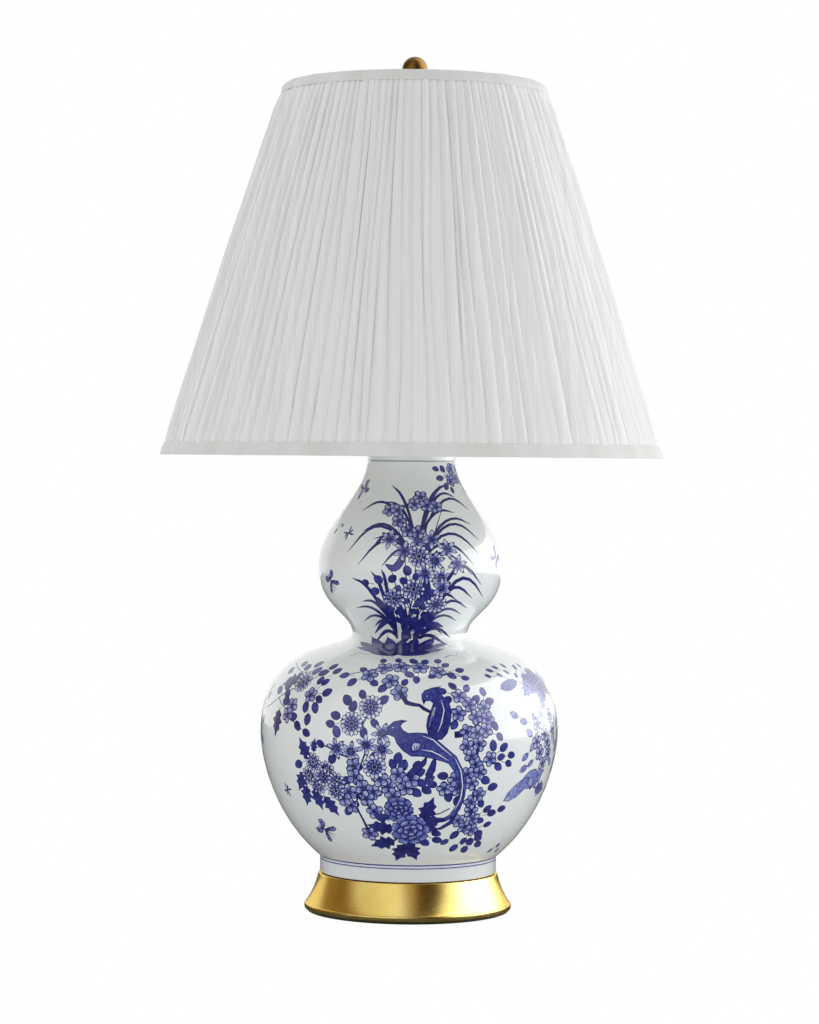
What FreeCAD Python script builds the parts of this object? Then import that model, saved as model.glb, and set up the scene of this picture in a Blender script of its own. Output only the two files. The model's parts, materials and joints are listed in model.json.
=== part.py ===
import FreeCAD, Part
import Sketcher
import math
import os
import re

# Table lamp with a double gourd porcelain body on a round gilded plinth. A threaded pipe clamps
# plinth, porcelain and vase cap together and carries the socket. A wire harp carries the shade.
# Millimetres. The origin is the centre of the felt's underside, +Z up, front of the lamp at -Y.

DOC = FreeCAD.newDocument("double_gourd_lamp")

# A swept wire's volume may differ from length times section by this share, where its halves meet.
VOLUME_SLACK = 0.01

# Driving dimensions: (alias, value, what it measures)
SIZES = (
    ("felt_thickness", 2.0, "felt disc under the plinth"),
    ("felt_inset", 2.0, "felt radius is this much under the plinth's foot"),
    ("plinth_height", 30.5, "gilded plinth, foot to top face"),
    ("plinth_foot_radius", 89.0, "outer edge of the plinth's foot"),
    ("plinth_top_radius", 77.0, "outer edge of the plinth's top face"),
    ("plinth_lip_height", 4.5, "upright lip at the plinth's foot"),
    ("plinth_lip_setback", 1.2, "step from the lip to the start of the sweep"),
    ("plinth_sweep_radius", 70.0, "hollow sweep between lip and top face"),
    ("plinth_recess_radius", 40.0, "hollow under the plinth for nut and washer"),
    ("plinth_recess_depth", 14.0, "depth of that hollow"),
    ("cord_hole_radius", 4.8, "hole for the cord bushing at the back of the plinth"),
    ("cord_face_inset", 6.0, "spot face behind the plinth's foot edge"),
    ("bushing_bore_radius", 3.3, "way through the cord bushing"),
    ("bushing_flange_radius", 6.4, "flange of the cord bushing"),
    ("bushing_flange_thickness", 1.5, "flange of the cord bushing"),
    ("bushing_length", 16.0, "cord bushing behind its flange"),
    ("gasket_thickness", 0.8, "rubber rings under the foot and under the cap"),
    ("gasket_inset", 1.6, "gasket edge inside the porcelain's edge"),
    ("gasket_width", 7.0, "foot gasket, inner to outer edge"),
    ("foot_radius", 75.8, "upright foot ring of the porcelain"),
    ("foot_height", 14.2, "foot ring, up to the crease under the belly"),
    ("foot_wall", 9.0, "wall of the foot ring"),
    ("foot_recess_height", 8.0, "hollow inside the foot ring"),
    ("floor_thickness", 8.0, "porcelain floor"),
    ("floor_hole_radius", 6.5, "pipe hole in the floor"),
    ("porcelain_wall", 6.5, "wall of the two bulbs, measured level"),
    ("crease_radius", 76.5, "start of the belly above the foot ring"),
    ("belly_radius", 128.0, "widest point of the lower bulb"),
    ("belly_rise", 105.5, "crease to the widest point of the lower bulb"),
    ("waist_radius", 49.5, "waist between the bulbs"),
    ("waist_rise", 85.0, "widest point of the lower bulb to the waist"),
    ("shoulder_radius", 79.5, "widest point of the upper bulb"),
    ("shoulder_rise", 58.0, "waist to the widest point of the upper bulb"),
    ("neck_radius", 38.0, "neck at the groove"),
    ("neck_rise", 90.0, "widest point of the upper bulb to the groove"),
    ("belly_start_slope", 40.0, "degrees above level at the crease"),
    ("belly_start_fullness", 0.53, "curve handle over rise, crease end"),
    ("belly_low_fullness", 0.16, "curve handle over rise, below the lower bulb's widest point"),
    ("belly_high_fullness", 0.985, "curve handle over rise, above the lower bulb's widest point"),
    ("waist_low_fullness", 0.19, "curve handle over rise, below the waist"),
    ("waist_high_fullness", 0.29, "curve handle over rise, above the waist"),
    ("shoulder_low_fullness", 0.64, "curve handle over rise, below the upper bulb's widest point"),
    ("shoulder_high_fullness", 0.38, "curve handle over rise, above the upper bulb's widest point"),
    ("neck_fullness", 0.3, "curve handle over rise, under the groove"),
    ("groove_height", 1.2, "unglazed groove round the neck"),
    ("groove_depth", 0.7, "unglazed groove round the neck"),
    ("collar_height", 10.0, "straight collar above the groove"),
    ("cap_overhang", 0.8, "vase cap beyond the collar"),
    ("cap_edge_height", 1.6, "upright edge of the vase cap"),
    ("cap_height", 6.0, "vase cap, seat to crown"),
    ("cap_crown_radius", 13.0, "flat crown of the vase cap"),
    ("cap_plug_clearance", 1.0, "vase cap's plug inside the neck"),
    ("cap_plug_depth", 5.0, "vase cap's plug inside the neck"),
    ("cap_plug_wall", 2.5, "vase cap's plug inside the neck"),
    ("cap_metal", 2.0, "brass of the vase cap's plate"),
    ("spacer_height", 20.0, "turned brass spacer"),
    ("spacer_flange_radius", 12.0, "turned brass spacer"),
    ("spacer_flange_height", 3.0, "turned brass spacer"),
    ("spacer_waist_radius", 8.0, "turned brass spacer"),
    ("pipe_radius", 5.15, "1/8 IP lamp pipe over its thread"),
    ("pipe_bore_radius", 3.3, "way for the wires through the pipe"),
    ("pipe_tail", 2.0, "pipe below the base nut"),
    ("pipe_fit", 0.05, "clearance round the pipe in threaded and bored pieces"),
    ("nut_flats", 16.0, "hexagon of the nuts, across flats"),
    ("nut_height", 4.0, "base nut and lock nut"),
    ("washer_radius", 16.0, "washer above the base nut"),
    ("washer_thickness", 1.6, "washer above the base nut"),
    ("saddle_thickness", 1.5, "harp saddle's steel strip"),
    ("saddle_width", 12.0, "harp saddle's steel strip"),
    ("saddle_ear_width", 6.0, "harp saddle's upturned ears"),
    ("saddle_ear_height", 15.5, "ears above the strip"),
    ("saddle_ear_thickness", 4.4, "ears, folded double"),
    ("harp_foot_span", 36.0, "harp's feet from the lamp's axis"),
    ("peg_height", 6.0, "pegs on the ears, under the harp's feet"),
    ("harp_wire_radius", 1.6, "harp wire and the saddle's pegs"),
    ("ferrule_fit", 0.05, "clearance between ferrule and wire"),
    ("ferrule_radius", 2.9, "outside of the brass ferrules"),
    ("ferrule_length", 14.0, "brass ferrules"),
    ("harp_height", 250.0, "harp's feet to the middle of its top wire"),
    ("harp_span", 57.0, "widest half of the harp"),
    ("harp_foot_straight", 18.0, "straight leg above the ferrules' seat"),
    ("harp_sweep_height", 80.0, "height over which the legs spread"),
    ("harp_side_straight", 66.0, "straight side of the harp"),
    ("harp_top_straight", 6.0, "straight top of the harp, each side of the axis"),
    ("harp_top_radius", 40.0, "bend beside the top"),
    ("boss_radius", 5.5, "brass boss crimped on the harp's top"),
    ("boss_wall", 1.8, "boss above and below the wire"),
    ("stud_radius", 3.1, "1/4-27 stud for the finial"),
    ("stud_height", 9.0, "stud above the boss"),
    ("spider_washer_radius", 11.0, "washer in the middle of the shade's spider"),
    ("spider_washer_thickness", 1.6, "washer in the middle of the shade's spider"),
    ("spider_hole_clearance", 0.4, "washer's hole round the stud"),
    ("spider_arm_radius", 1.5, "wire of the spider's arms"),
    ("spider_arm_count", 3, "spider's arms"),
    ("socket_bore_depth", 8.0, "thread in the socket cap"),
    ("socket_hub_radius", 8.5, "hub of the socket cap"),
    ("socket_cap_height", 20.0, "socket cap"),
    ("socket_cap_skirt", 8.0, "upright skirt of the socket cap"),
    ("socket_metal", 0.8, "brass of socket cap and shell"),
    ("socket_fit", 0.1, "clearance between the socket's nested sleeves"),
    ("screw_air_gap", 1.0, "air between the screw shell and the cardboard sleeve"),
    ("socket_shell_height", 50.0, "socket shell"),
    ("sleeve_thickness", 0.8, "cardboard sleeve inside the shell"),
    ("terminal_room", 0.9, "room for the terminal screws between block and sleeve"),
    ("interior_height", 20.0, "phenolic block inside the socket"),
    ("interior_bore_radius", 2.0, "way for the centre wire"),
    ("screw_shell_height", 25.0, "threaded shell that holds the lamp bulb"),
    ("screw_shell_metal", 0.5, "threaded shell that holds the lamp bulb"),
    ("contact_radius", 3.6, "centre contact of the socket"),
    ("contact_height", 2.5, "centre contact of the socket"),
    ("terminal_screw_radius", 2.2, "two terminal screws"),
    ("set_screw_radius", 1.5, "set screw in the socket cap's hub"),
    ("set_screw_head", 1.2, "set screw beyond the hub"),
    ("spindle_radius", 1.6, "turn switch spindle"),
    ("spindle_fit", 0.05, "clearance round the spindle"),
    ("spindle_grip", 4.0, "spindle inside the phenolic block"),
    ("spindle_reach", 8.0, "spindle beyond the socket shell"),
    ("shell_slot_radius", 2.6, "hole in shell and sleeve for the spindle"),
    ("knob_radius", 5.5, "turn switch knob"),
    ("knob_length", 12.0, "turn switch knob"),
    ("knob_gap", 2.0, "knob off the socket shell"),
    ("knob_flute_radius", 0.9, "grip flutes of the knob"),
    ("knob_flute_count", 10, "grip flutes of the knob"),
    ("bulb_cap_radius", 13.0, "E26 screw cap of the lamp bulb"),
    ("bulb_cap_height", 20.0, "E26 screw cap of the lamp bulb"),
    ("bulb_cap_metal", 0.5, "metal of the screw cap"),
    ("bulb_contact_radius", 4.2, "bulb's end contact"),
    ("bulb_contact_height", 1.5, "bulb's end contact"),
    ("bulb_glass_height", 3.0, "insulator between end contact and screw cap"),
    ("bulb_glass_radius", 10.0, "insulator between end contact and screw cap"),
    ("bulb_body_height", 30.0, "bulb's housing above the screw cap"),
    ("bulb_body_radius", 23.0, "bulb's housing at the globe"),
    ("bulb_wall", 1.4, "walls of housing and globe"),
    ("globe_radius", 30.0, "bulb's globe"),
    ("shade_rise", 10.0, "top edge of the shade above the harp's boss"),
    ("shade_height", 320.0, "shade, edge to edge"),
    ("shade_bottom_radius", 216.5, "outside of the bottom trim"),
    ("shade_top_radius", 113.0, "outside of the top trim"),
    ("trim_thickness", 1.2, "bias tape round both edges"),
    ("top_trim_height", 9.0, "upper tape"),
    ("bottom_trim_height", 11.0, "lower tape"),
    ("pleat_count", 124, "pleats round the shade"),
    ("pleat_depth", 1.3, "ridge over band, at the bottom edge"),
    ("pleat_band_share", 0.72, "share of a pleat that lies flat"),
    ("cloth_thickness", 0.5, "pleated cloth"),
    ("liner_gap", 0.3, "pleats over the liner"),
    ("liner_thickness", 0.6, "stiff liner"),
    ("ring_wire_radius", 1.5, "wire rings inside both edges"),
    ("ring_gap", 0.05, "rings inside the liner"),
    ("ring_edge_inset", 3.0, "rings from the shade's edges, to the wire's middle"),
    ("finial_height", 33.3, "finial, seat to top"),
    ("finial_ball_radius", 10.9, "ball of the finial"),
    ("finial_flange_radius", 8.0, "foot of the finial"),
    ("finial_flange_height", 2.4, "foot of the finial"),
    ("finial_neck_radius", 4.8, "neck of the finial"),
    ("finial_thread_fit", 0.05, "clearance round the stud"),
)

# Heights and radii that follow from the sizes, each a formula of sizes and earlier entries
LEVELS = {
    "plinth_base": "felt_thickness",
    "plinth_top": "plinth_base + plinth_height",
    "recess_top": "plinth_base + plinth_recess_depth",
    "foot_base": "plinth_top + gasket_thickness",
    "crease": "foot_base + foot_height",
    "belly": "crease + belly_rise",
    "waist": "belly + waist_rise",
    "shoulder": "waist + shoulder_rise",
    "groove": "shoulder + neck_rise",
    "collar_top": "groove + groove_height + collar_height",
    "cap_seat": "collar_top + gasket_thickness",
    "cap_crown": "cap_seat + cap_height",
    "saddle_base": "cap_crown + spacer_height",
    "saddle_top": "saddle_base + saddle_thickness",
    "ear_top": "saddle_top + saddle_ear_height",
    "harp_base": "ear_top + peg_height",
    "harp_top": "harp_base + harp_height",
    "boss_base": "harp_top - harp_wire_radius - boss_wall",
    "shade_seat": "harp_top + harp_wire_radius + boss_wall",
    "finial_base": "shade_seat + spider_washer_thickness",
    "shade_base": "shade_seat + shade_rise - shade_height",
    "washer_base": "recess_top - washer_thickness",
    "nut_base": "washer_base - nut_height",
    "pipe_base": "nut_base - pipe_tail",
    "socket_base": "saddle_top + nut_height",
    "pipe_top": "socket_base + socket_bore_depth",
    "shell_base": "socket_base + socket_cap_height - socket_cap_skirt + socket_metal",
    "interior_base": "shell_base + socket_metal",
    "interior_top": "interior_base + interior_height",
    "contact_top": "interior_top + contact_height",
    "glass_base": "contact_top + bulb_contact_height",
    "bulb_cap_base": "glass_base + bulb_glass_height",
    "bulb_body_base": "bulb_cap_base + bulb_cap_height",
    "globe_base": "bulb_body_base + bulb_body_height",
    "switch_level": "interior_base + interior_height / 2",
    "cord_level": "plinth_base + plinth_recess_depth / 2 + cord_hole_radius / 2",
    "thread_radius": "pipe_radius + pipe_fit",
    "neck_bore": "neck_radius - porcelain_wall",
    "cord_face": "plinth_foot_radius - cord_face_inset",
    "screw_bore": "bulb_cap_radius + socket_fit",
    "screw_radius": "screw_bore + screw_shell_metal",
    "sleeve_bore": "screw_radius + screw_air_gap",
    "sleeve_radius": "sleeve_bore + sleeve_thickness",
    "shell_bore": "sleeve_radius + socket_fit",
    "shell_radius": "shell_bore + socket_metal",
    "skirt_bore": "shell_radius + socket_fit",
    "skirt_radius": "skirt_bore + socket_metal",
    "interior_radius": "sleeve_bore - terminal_room",
    "terminal_reach": "sqrt((sleeve_bore - socket_fit) ^ 2 - terminal_screw_radius ^ 2)",
    "ferrule_bore": "harp_wire_radius + ferrule_fit",
    "finial_bore": "stud_radius + finial_thread_fit",
    "shade_slope": "(shade_bottom_radius - shade_top_radius) / shade_height",
    "pleat_inset": "trim_thickness",
    "liner_inset": "trim_thickness + pleat_depth + cloth_thickness + liner_gap",
    "shade_lean": "sqrt(1 + shade_slope ^ 2)",
    "ring_inset": "liner_inset + liner_thickness + (ring_gap + ring_wire_radius) * shade_lean",
}


def fill_sheet():
    sheet = DOC.addObject("Spreadsheet::Sheet", "Sizes")
    for row, (alias, value, meaning) in enumerate(SIZES, 1):
        sheet.set(f"A{row}", meaning)
        sheet.set(f"B{row}", str(value))
        sheet.setAlias(f"B{row}", alias)
    DOC.recompute()
    return sheet


SHEET = fill_sheet()
ALIASES = {alias for alias, value, meaning in SIZES}


def bound(formula):
    """Turns a formula of sizes and levels into an expression on the sheet's cells."""

    def swap(match):
        word = match.group(0)
        if word in LEVELS:
            return f"({bound(LEVELS[word])})"
        if word in ALIASES:
            return f"Sizes.{word}"
        return word

    return re.sub(r"[a-z][a-z_]+", swap, formula)


def number(formula):
    """The formula's value now, in millimetres."""
    return float(SHEET.evalExpression(bound(formula)))


def vector(x, y, z):
    return FreeCAD.Vector(x, y, z)


def stand(feature, level):
    """Stands a piece that has a shape of its own on a level of the lamp."""
    feature.Placement = FreeCAD.Placement(vector(0, 0, number(level)), FreeCAD.Rotation())


def lift(piece, level):
    """Ties a piece's height to a level of the lamp."""
    piece.setExpression("Placement.Base.z", bound(level))
    return piece


# ---- sketches and features -------------------------------------------------------------------

def new_body(label):
    return DOC.addObject("PartDesign::Body", label)


def new_sketch(body, name, role, level="0"):
    """A sketch on one of the body's own origin planes, moved along its normal by level."""
    sketch = body.newObject("Sketcher::SketchObject", name)
    plane = next(item for item in body.Origin.OriginFeatures if item.Role == role)
    sketch.AttachmentSupport = [(plane, "")]
    sketch.MapMode = "FlatFace"
    sketch.setExpression("AttachmentOffset.Base.z", bound(level))
    return sketch


def hold(sketch, kind, *geometry, formula):
    """Adds a dimension and ties it to the sheet."""
    index = sketch.addConstraint(Sketcher.Constraint(kind, *geometry, number(formula)))
    sketch.setExpression(f"Constraints[{index}]", bound(formula))


def fix_point(sketch, geometry, point, x, y):
    """Ties a point to the sketch's origin (-1, 1), level axis (-1) and upright axis (-2)."""
    for kind, formula, axis in (("DistanceX", x, -2), ("DistanceY", y, -1)):
        if formula == "0":
            sketch.addConstraint(Sketcher.Constraint("PointOnObject", geometry, point, axis))
        else:
            hold(sketch, kind, -1, 1, geometry, point, formula=formula)


def arc_between(start, end, radius, turn):
    """An arc from start to end; turn is +1 where it runs anticlockwise, -1 clockwise."""
    chord = end - start
    side = vector(-chord.y, chord.x, 0).normalize()
    centre = start + chord * 0.5 + side * turn * math.sqrt(radius**2 - (chord.Length / 2) ** 2)
    first, last = (start, end) if turn > 0 else (end, start)
    angles = [math.atan2(point.y - centre.y, point.x - centre.x) for point in (first, last)]
    circle = Part.Circle(centre, vector(0, 0, 1), radius)
    return Part.ArcOfCircle(circle, angles[0], angles[1])


def draw_outline(sketch, corners):
    """A closed outline. A corner is (x, y), or (x, y, radius, turn) where an arc leaves it."""
    places = [vector(number(corner[0]), number(corner[1]), 0) for corner in corners]
    ends = []
    for index, corner in enumerate(corners):
        start, end = places[index], places[(index + 1) % len(corners)]
        if len(corner) == 2:
            ends.append((sketch.addGeometry(Part.LineSegment(start, end), False), 1, 2))
            continue
        arc = arc_between(start, end, number(corner[2]), corner[3])
        starts_at, ends_at = (1, 2) if corner[3] > 0 else (2, 1)
        ends.append((sketch.addGeometry(arc, False), starts_at, ends_at))
    for index, (edge, starts_at, _) in enumerate(ends):
        before, _, ended_at = ends[index - 1]
        sketch.addConstraint(Sketcher.Constraint("Coincident", before, ended_at, edge, starts_at))
    for (edge, starts_at, _), corner in zip(ends, corners):
        fix_point(sketch, edge, starts_at, corner[0], corner[1])
        if len(corner) == 4:
            hold(sketch, "Radius", edge, formula=corner[2])


def draw_circle(sketch, x, y, radius):
    circle = Part.Circle(vector(number(x), number(y), 0), vector(0, 0, 1), number(radius))
    edge = sketch.addGeometry(circle, False)
    if x == y == "0":
        sketch.addConstraint(Sketcher.Constraint("Coincident", edge, 3, -1, 1))
    else:
        fix_point(sketch, edge, 3, x, y)
    hold(sketch, "Radius", edge, formula=radius)


def turned(label, level, corners):
    """A piece turned about the lamp's axis: corners are (radius, height) over its own seat."""
    body = new_body(label)
    sketch = new_sketch(body, f"{label}_section", "XZ_Plane")
    draw_outline(sketch, corners)
    turning = body.newObject("PartDesign::Revolution", f"{label}_turning")
    turning.Profile = sketch
    turning.ReferenceAxis = (sketch, ["V_Axis"])
    turning.Angle = 360
    return lift(body, level)


def tube(label, level, outer, bore, height):
    """A plain turned ring or tube."""
    return turned(label, level, [(bore, "0"), (outer, "0"), (outer, height), (bore, height)])


def pad(body, name, sketch, length, reversed_way=False):
    feature = body.newObject("PartDesign::Pad", name)
    feature.Profile = sketch
    feature.setExpression("Length", bound(length))
    feature.Reversed = reversed_way


def cut_out(body, name, sketch, length, reversed_way=False):
    """A pocket that has to take material away."""
    DOC.recompute()
    before = body.Shape.Volume
    feature = body.newObject("PartDesign::Pocket", name)
    feature.Profile = sketch
    feature.setExpression("Length", bound(length))
    feature.Reversed = reversed_way
    DOC.recompute()
    assert body.Shape.Volume < before, f"{name} cuts nothing"
    return feature


def drill_back(body, name, height, radius, start, length):
    """A round hole from y = start towards the back (+Y), across the lamp's axis."""
    sketch = new_sketch(body, f"{name}_circle", "XZ_Plane", f"-({start})")
    draw_circle(sketch, "0", height, radius)
    cut_out(body, name, sketch, length)


# ---- plinth and what is under it -------------------------------------------------------------


def make_felt_pad():
    radius = "plinth_foot_radius - felt_inset"
    corners = [("0", "0"), (radius, "0"), (radius, "felt_thickness"), ("0", "felt_thickness")]
    turned("felt_pad", "0", corners)


def make_plinth():
    sweep_foot = "plinth_foot_radius - plinth_lip_setback"
    corners = [
        ("plinth_recess_radius", "0"),
        ("plinth_foot_radius", "0"),
        ("plinth_foot_radius", "plinth_lip_height"),
        (sweep_foot, "plinth_lip_height", "plinth_sweep_radius", -1),
        ("plinth_top_radius", "plinth_height"),
        ("thread_radius", "plinth_height"),
        ("thread_radius", "plinth_recess_depth"),
        ("plinth_recess_radius", "plinth_recess_depth"),
    ]
    body = turned("base_plinth", "plinth_base", corners)
    height = "cord_level - plinth_base"
    drill_back(body, "cord_hole", height, "cord_hole_radius", "plinth_recess_radius / 2", "cord_face")
    drill_back(
        body, "cord_spot_face", height, "bushing_flange_radius + pipe_fit", "cord_face", "cord_face"
    )


def make_cord_bushing():
    body = new_body("cord_bushing")
    flange = new_sketch(body, "bushing_flange_circle", "XZ_Plane", "-(cord_face)")
    draw_circle(flange, "0", "0", "bushing_flange_radius")
    pad(body, "bushing_flange", flange, "bushing_flange_thickness", reversed_way=True)
    barrel = new_sketch(body, "bushing_barrel_circle", "XZ_Plane", "-(cord_face)")
    draw_circle(barrel, "0", "0", "cord_hole_radius - pipe_fit")
    pad(body, "bushing_barrel", barrel, "bushing_length")
    reach = "bushing_length + bushing_flange_thickness"
    drill_back(body, "bushing_bore", "0", "bushing_bore_radius", "cord_face - bushing_length", reach)
    lift(body, "cord_level")


def make_nut(label, level):
    hexagon = DOC.addObject("Part::Prism", f"{label}_hexagon")
    hexagon.Polygon = 6
    hexagon.setExpression("Circumradius", bound("nut_flats / sqrt(3)"))
    hexagon.setExpression("Height", bound("nut_height"))
    bore = DOC.addObject("Part::Cylinder", f"{label}_bore")
    bore.setExpression("Radius", bound("thread_radius"))
    bore.setExpression("Height", bound("nut_height"))
    nut = DOC.addObject("Part::Cut", label)
    nut.Base = hexagon
    nut.Tool = bore
    lift(nut, level)


def make_plinth_group():
    make_felt_pad()
    make_plinth()
    make_cord_bushing()
    make_nut("base_nut", "nut_base")
    tube("base_washer", "washer_base", "washer_radius", "thread_radius", "washer_thickness")
    outer = "foot_radius - gasket_inset"
    tube("foot_gasket", "plinth_top", outer, f"{outer} - gasket_width", "gasket_thickness")
    tube("lamp_pipe", "pipe_base", "pipe_radius", "pipe_bore_radius", "pipe_top - pipe_base")


# ---- porcelain -------------------------------------------------------------------------------


def gourd_curves(inset):
    """The gourd's side from crease to groove, drawn in by inset: four curves that stand upright
    where they meet, at the two widest points, the waist and the groove."""
    slope = math.radians(number("belly_start_slope"))
    rises = [number(f"{name}_rise") for name in ("belly", "waist", "shoulder", "neck")]
    starts = [number(f"{name}_radius") - inset for name in ("crease", "belly", "waist", "shoulder")]
    ends = [number(f"{name}_radius") - inset for name in ("belly", "waist", "shoulder", "neck")]
    names = (
        ("belly_start", "belly_low"),
        ("belly_high", "waist_low"),
        ("waist_high", "shoulder_low"),
        ("shoulder_high", "neck"),
    )
    height = number("foot_height")
    curves = []
    for index, (start, end, rise) in enumerate(zip(starts, ends, rises)):
        leaving, arriving = (rise * number(f"{name}_fullness") for name in names[index])
        lean = slope if index == 0 else math.pi / 2
        poles = [
            vector(start, 0, height),
            vector(start + leaving * math.cos(lean), 0, height + leaving * math.sin(lean)),
            vector(end, 0, height + rise - arriving),
            vector(end, 0, height + rise),
        ]
        curve = Part.BezierCurve()
        curve.setPoles(poles)
        curves.append(curve.toShape())
        height += rise
    return curves


def revolve_side(curves, points):
    """Turns curves, closed by straight lines through points, into a solid about the Z axis."""
    wire = Part.Wire(curves + Part.makePolygon([vector(r, 0, z) for r, z in points]).Edges)
    return Part.Face(wire).revolve(vector(0, 0, 0), vector(0, 0, 1), 360)


def make_gourd():
    """The porcelain, with heights over its own foot."""
    foot, crease_r, neck = (number(f"{name}_radius") for name in ("foot", "crease", "neck"))
    crease = number("foot_height")
    groove = number("groove - foot_base")
    groove_top = groove + number("groove_height")
    top = number("collar_top - foot_base")
    groove_radius = neck - number("groove_depth")
    outside = revolve_side(
        gourd_curves(0),
        [
            (neck, groove),
            (groove_radius, groove),
            (groove_radius, groove_top),
            (neck, groove_top),
            (neck, top),
            (0, top),
            (0, 0),
            (foot, 0),
            (foot, crease),
            (crease_r, crease),
        ],
    )
    wall = number("porcelain_wall")
    bore = number("neck_bore")
    cavity = revolve_side(
        gourd_curves(wall), [(bore, groove), (bore, top), (0, top), (0, crease), (crease_r - wall, crease)]
    )
    recess_height = number("foot_recess_height")
    floor_top = recess_height + number("floor_thickness")
    cavity = cavity.cut(Part.makeCylinder(number("belly_radius"), floor_top))
    recess = Part.makeCylinder(foot - number("foot_wall"), recess_height)
    hole = Part.makeCylinder(number("floor_hole_radius"), floor_top)
    gourd = DOC.addObject("Part::Feature", "gourd_body")
    gourd.Shape = outside.cut(cavity).cut(recess).cut(hole)
    stand(gourd, "foot_base")


# ---- cap, spacer and saddle on the neck ------------------------------------------------------


def make_vase_cap():
    plug = "neck_bore - cap_plug_clearance"
    plug_bore = "neck_bore - cap_plug_clearance - cap_plug_wall"
    edge = "neck_radius + cap_overhang"
    corners = [
        ("thread_radius", "cap_height - cap_metal"),
        ("cap_crown_radius", "cap_height - cap_metal"),
        (plug_bore, "0"),
        (plug_bore, "-cap_plug_depth"),
        (plug, "-cap_plug_depth"),
        (plug, "0"),
        (edge, "0"),
        (edge, "cap_edge_height"),
        ("cap_crown_radius", "cap_height"),
        ("thread_radius", "cap_height"),
    ]
    turned("vase_cap", "cap_seat", corners)


def make_neck_spacer():
    half_cove = "(spacer_height - 2 * spacer_flange_height) / 2"
    cove = "spacer_flange_radius - spacer_waist_radius"
    cove_radius = f"(({half_cove}) ^ 2 + ({cove}) ^ 2) / (2 * ({cove}))"
    corners = [
        ("thread_radius", "0"),
        ("spacer_flange_radius", "0"),
        ("spacer_flange_radius", "spacer_flange_height", cove_radius, -1),
        ("spacer_flange_radius", "spacer_height - spacer_flange_height"),
        ("spacer_flange_radius", "spacer_height"),
        ("thread_radius", "spacer_height"),
    ]
    turned("neck_spacer", "cap_crown", corners)


def rectangle(left, right, low, high):
    return [(left, low), (right, low), (right, high), (left, high)]


def make_harp_saddle():
    """A steel strip with a hole for the pipe; its ends turn up into ears that carry the pegs."""
    body = new_body("harp_saddle")
    outer = "harp_foot_span + saddle_ear_thickness / 2"
    inner = "harp_foot_span - saddle_ear_thickness / 2"
    strip = new_sketch(body, "saddle_strip_plan", "XY_Plane")
    half_width = "saddle_width / 2"
    draw_outline(strip, rectangle(f"-({outer})", outer, f"-({half_width})", half_width))
    draw_circle(strip, "0", "0", "thread_radius")
    pad(body, "saddle_strip", strip, "saddle_thickness")
    for side, sign in (("left", "-"), ("right", "")):
        ear = new_sketch(body, f"saddle_ear_{side}_plan", "XY_Plane", "saddle_thickness")
        near, far = f"{sign}({inner})", f"{sign}({outer})"
        half_ear = "saddle_ear_width / 2"
        draw_outline(ear, rectangle(near, far, f"-({half_ear})", half_ear))
        pad(body, f"saddle_ear_{side}", ear, "saddle_ear_height")
        peg_level = "saddle_thickness + saddle_ear_height"
        peg = new_sketch(body, f"saddle_peg_{side}_plan", "XY_Plane", peg_level)
        draw_circle(peg, f"{sign}harp_foot_span", "0", "harp_wire_radius")
        pad(body, f"saddle_peg_{side}", peg, "peg_height")
    lift(body, "saddle_base")


def make_neck_group():
    inner = "neck_bore + gasket_inset"
    tube("cap_gasket", "collar_top", "neck_radius - gasket_inset", inner, "gasket_thickness")
    make_vase_cap()
    make_neck_spacer()
    make_harp_saddle()
    make_nut("lock_nut", "saddle_top")


# ---- socket and turn switch ------------------------------------------------------------------


def make_socket_cap():
    bell_base = "socket_cap_height - socket_cap_skirt"
    throat = "socket_hub_radius - socket_metal"
    corners = [
        ("thread_radius", "0"),
        ("socket_hub_radius", "0"),
        ("socket_hub_radius", "socket_bore_depth - 2 * socket_metal"),
        ("skirt_radius", bell_base),
        ("skirt_radius", "socket_cap_height"),
        ("skirt_bore", "socket_cap_height"),
        ("skirt_bore", f"{bell_base} + socket_metal"),
        (throat, "socket_bore_depth"),
        ("thread_radius", "socket_bore_depth"),
    ]
    body = turned("socket_cap", "socket_base", corners)
    sketch = new_sketch(body, "set_screw_circle", "YZ_Plane", "thread_radius / 2")
    draw_circle(sketch, "0", "socket_bore_depth / 2", "set_screw_radius")
    cut_out(body, "set_screw_hole", sketch, "socket_hub_radius", reversed_way=True)


def make_set_screw():
    screw = DOC.addObject("Part::Cylinder", "set_screw")
    screw.setExpression("Radius", bound("set_screw_radius - pipe_fit"))
    screw.setExpression("Height", bound("socket_hub_radius + set_screw_head - pipe_radius"))
    screw.Placement = FreeCAD.Placement(vector(0, 0, 0), FreeCAD.Rotation(vector(0, 1, 0), 90))
    screw.setExpression("Placement.Base.x", bound("pipe_radius"))
    lift(screw, "socket_base + socket_bore_depth / 2")


def drill_front(body, name, height, radius, start):
    """A round hole from y = -start towards the front (-Y)."""
    sketch = new_sketch(body, f"{name}_circle", "XZ_Plane", start)
    draw_circle(sketch, "0", height, radius)
    cut_out(body, name, sketch, "shell_radius", reversed_way=True)


def make_socket_sleeves():
    """Brass shell and cardboard sleeve, both with a hole for the switch spindle."""
    shell = tube("socket_shell", "shell_base", "shell_radius", "shell_bore", "socket_shell_height")
    sleeve = tube("insulating_sleeve", "shell_base", "sleeve_radius", "sleeve_bore", "socket_shell_height")
    for body, name in ((shell, "shell_slot"), (sleeve, "sleeve_slot")):
        drill_front(body, name, "switch_level - shell_base", "shell_slot_radius", "sleeve_bore / 2")


def make_socket_interior():
    body = tube(
        "socket_interior", "interior_base", "interior_radius", "interior_bore_radius", "interior_height"
    )
    start = "interior_radius - spindle_grip"
    height = "switch_level - interior_base"
    drill_front(body, "spindle_bore", height, "spindle_radius + spindle_fit", start)


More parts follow.
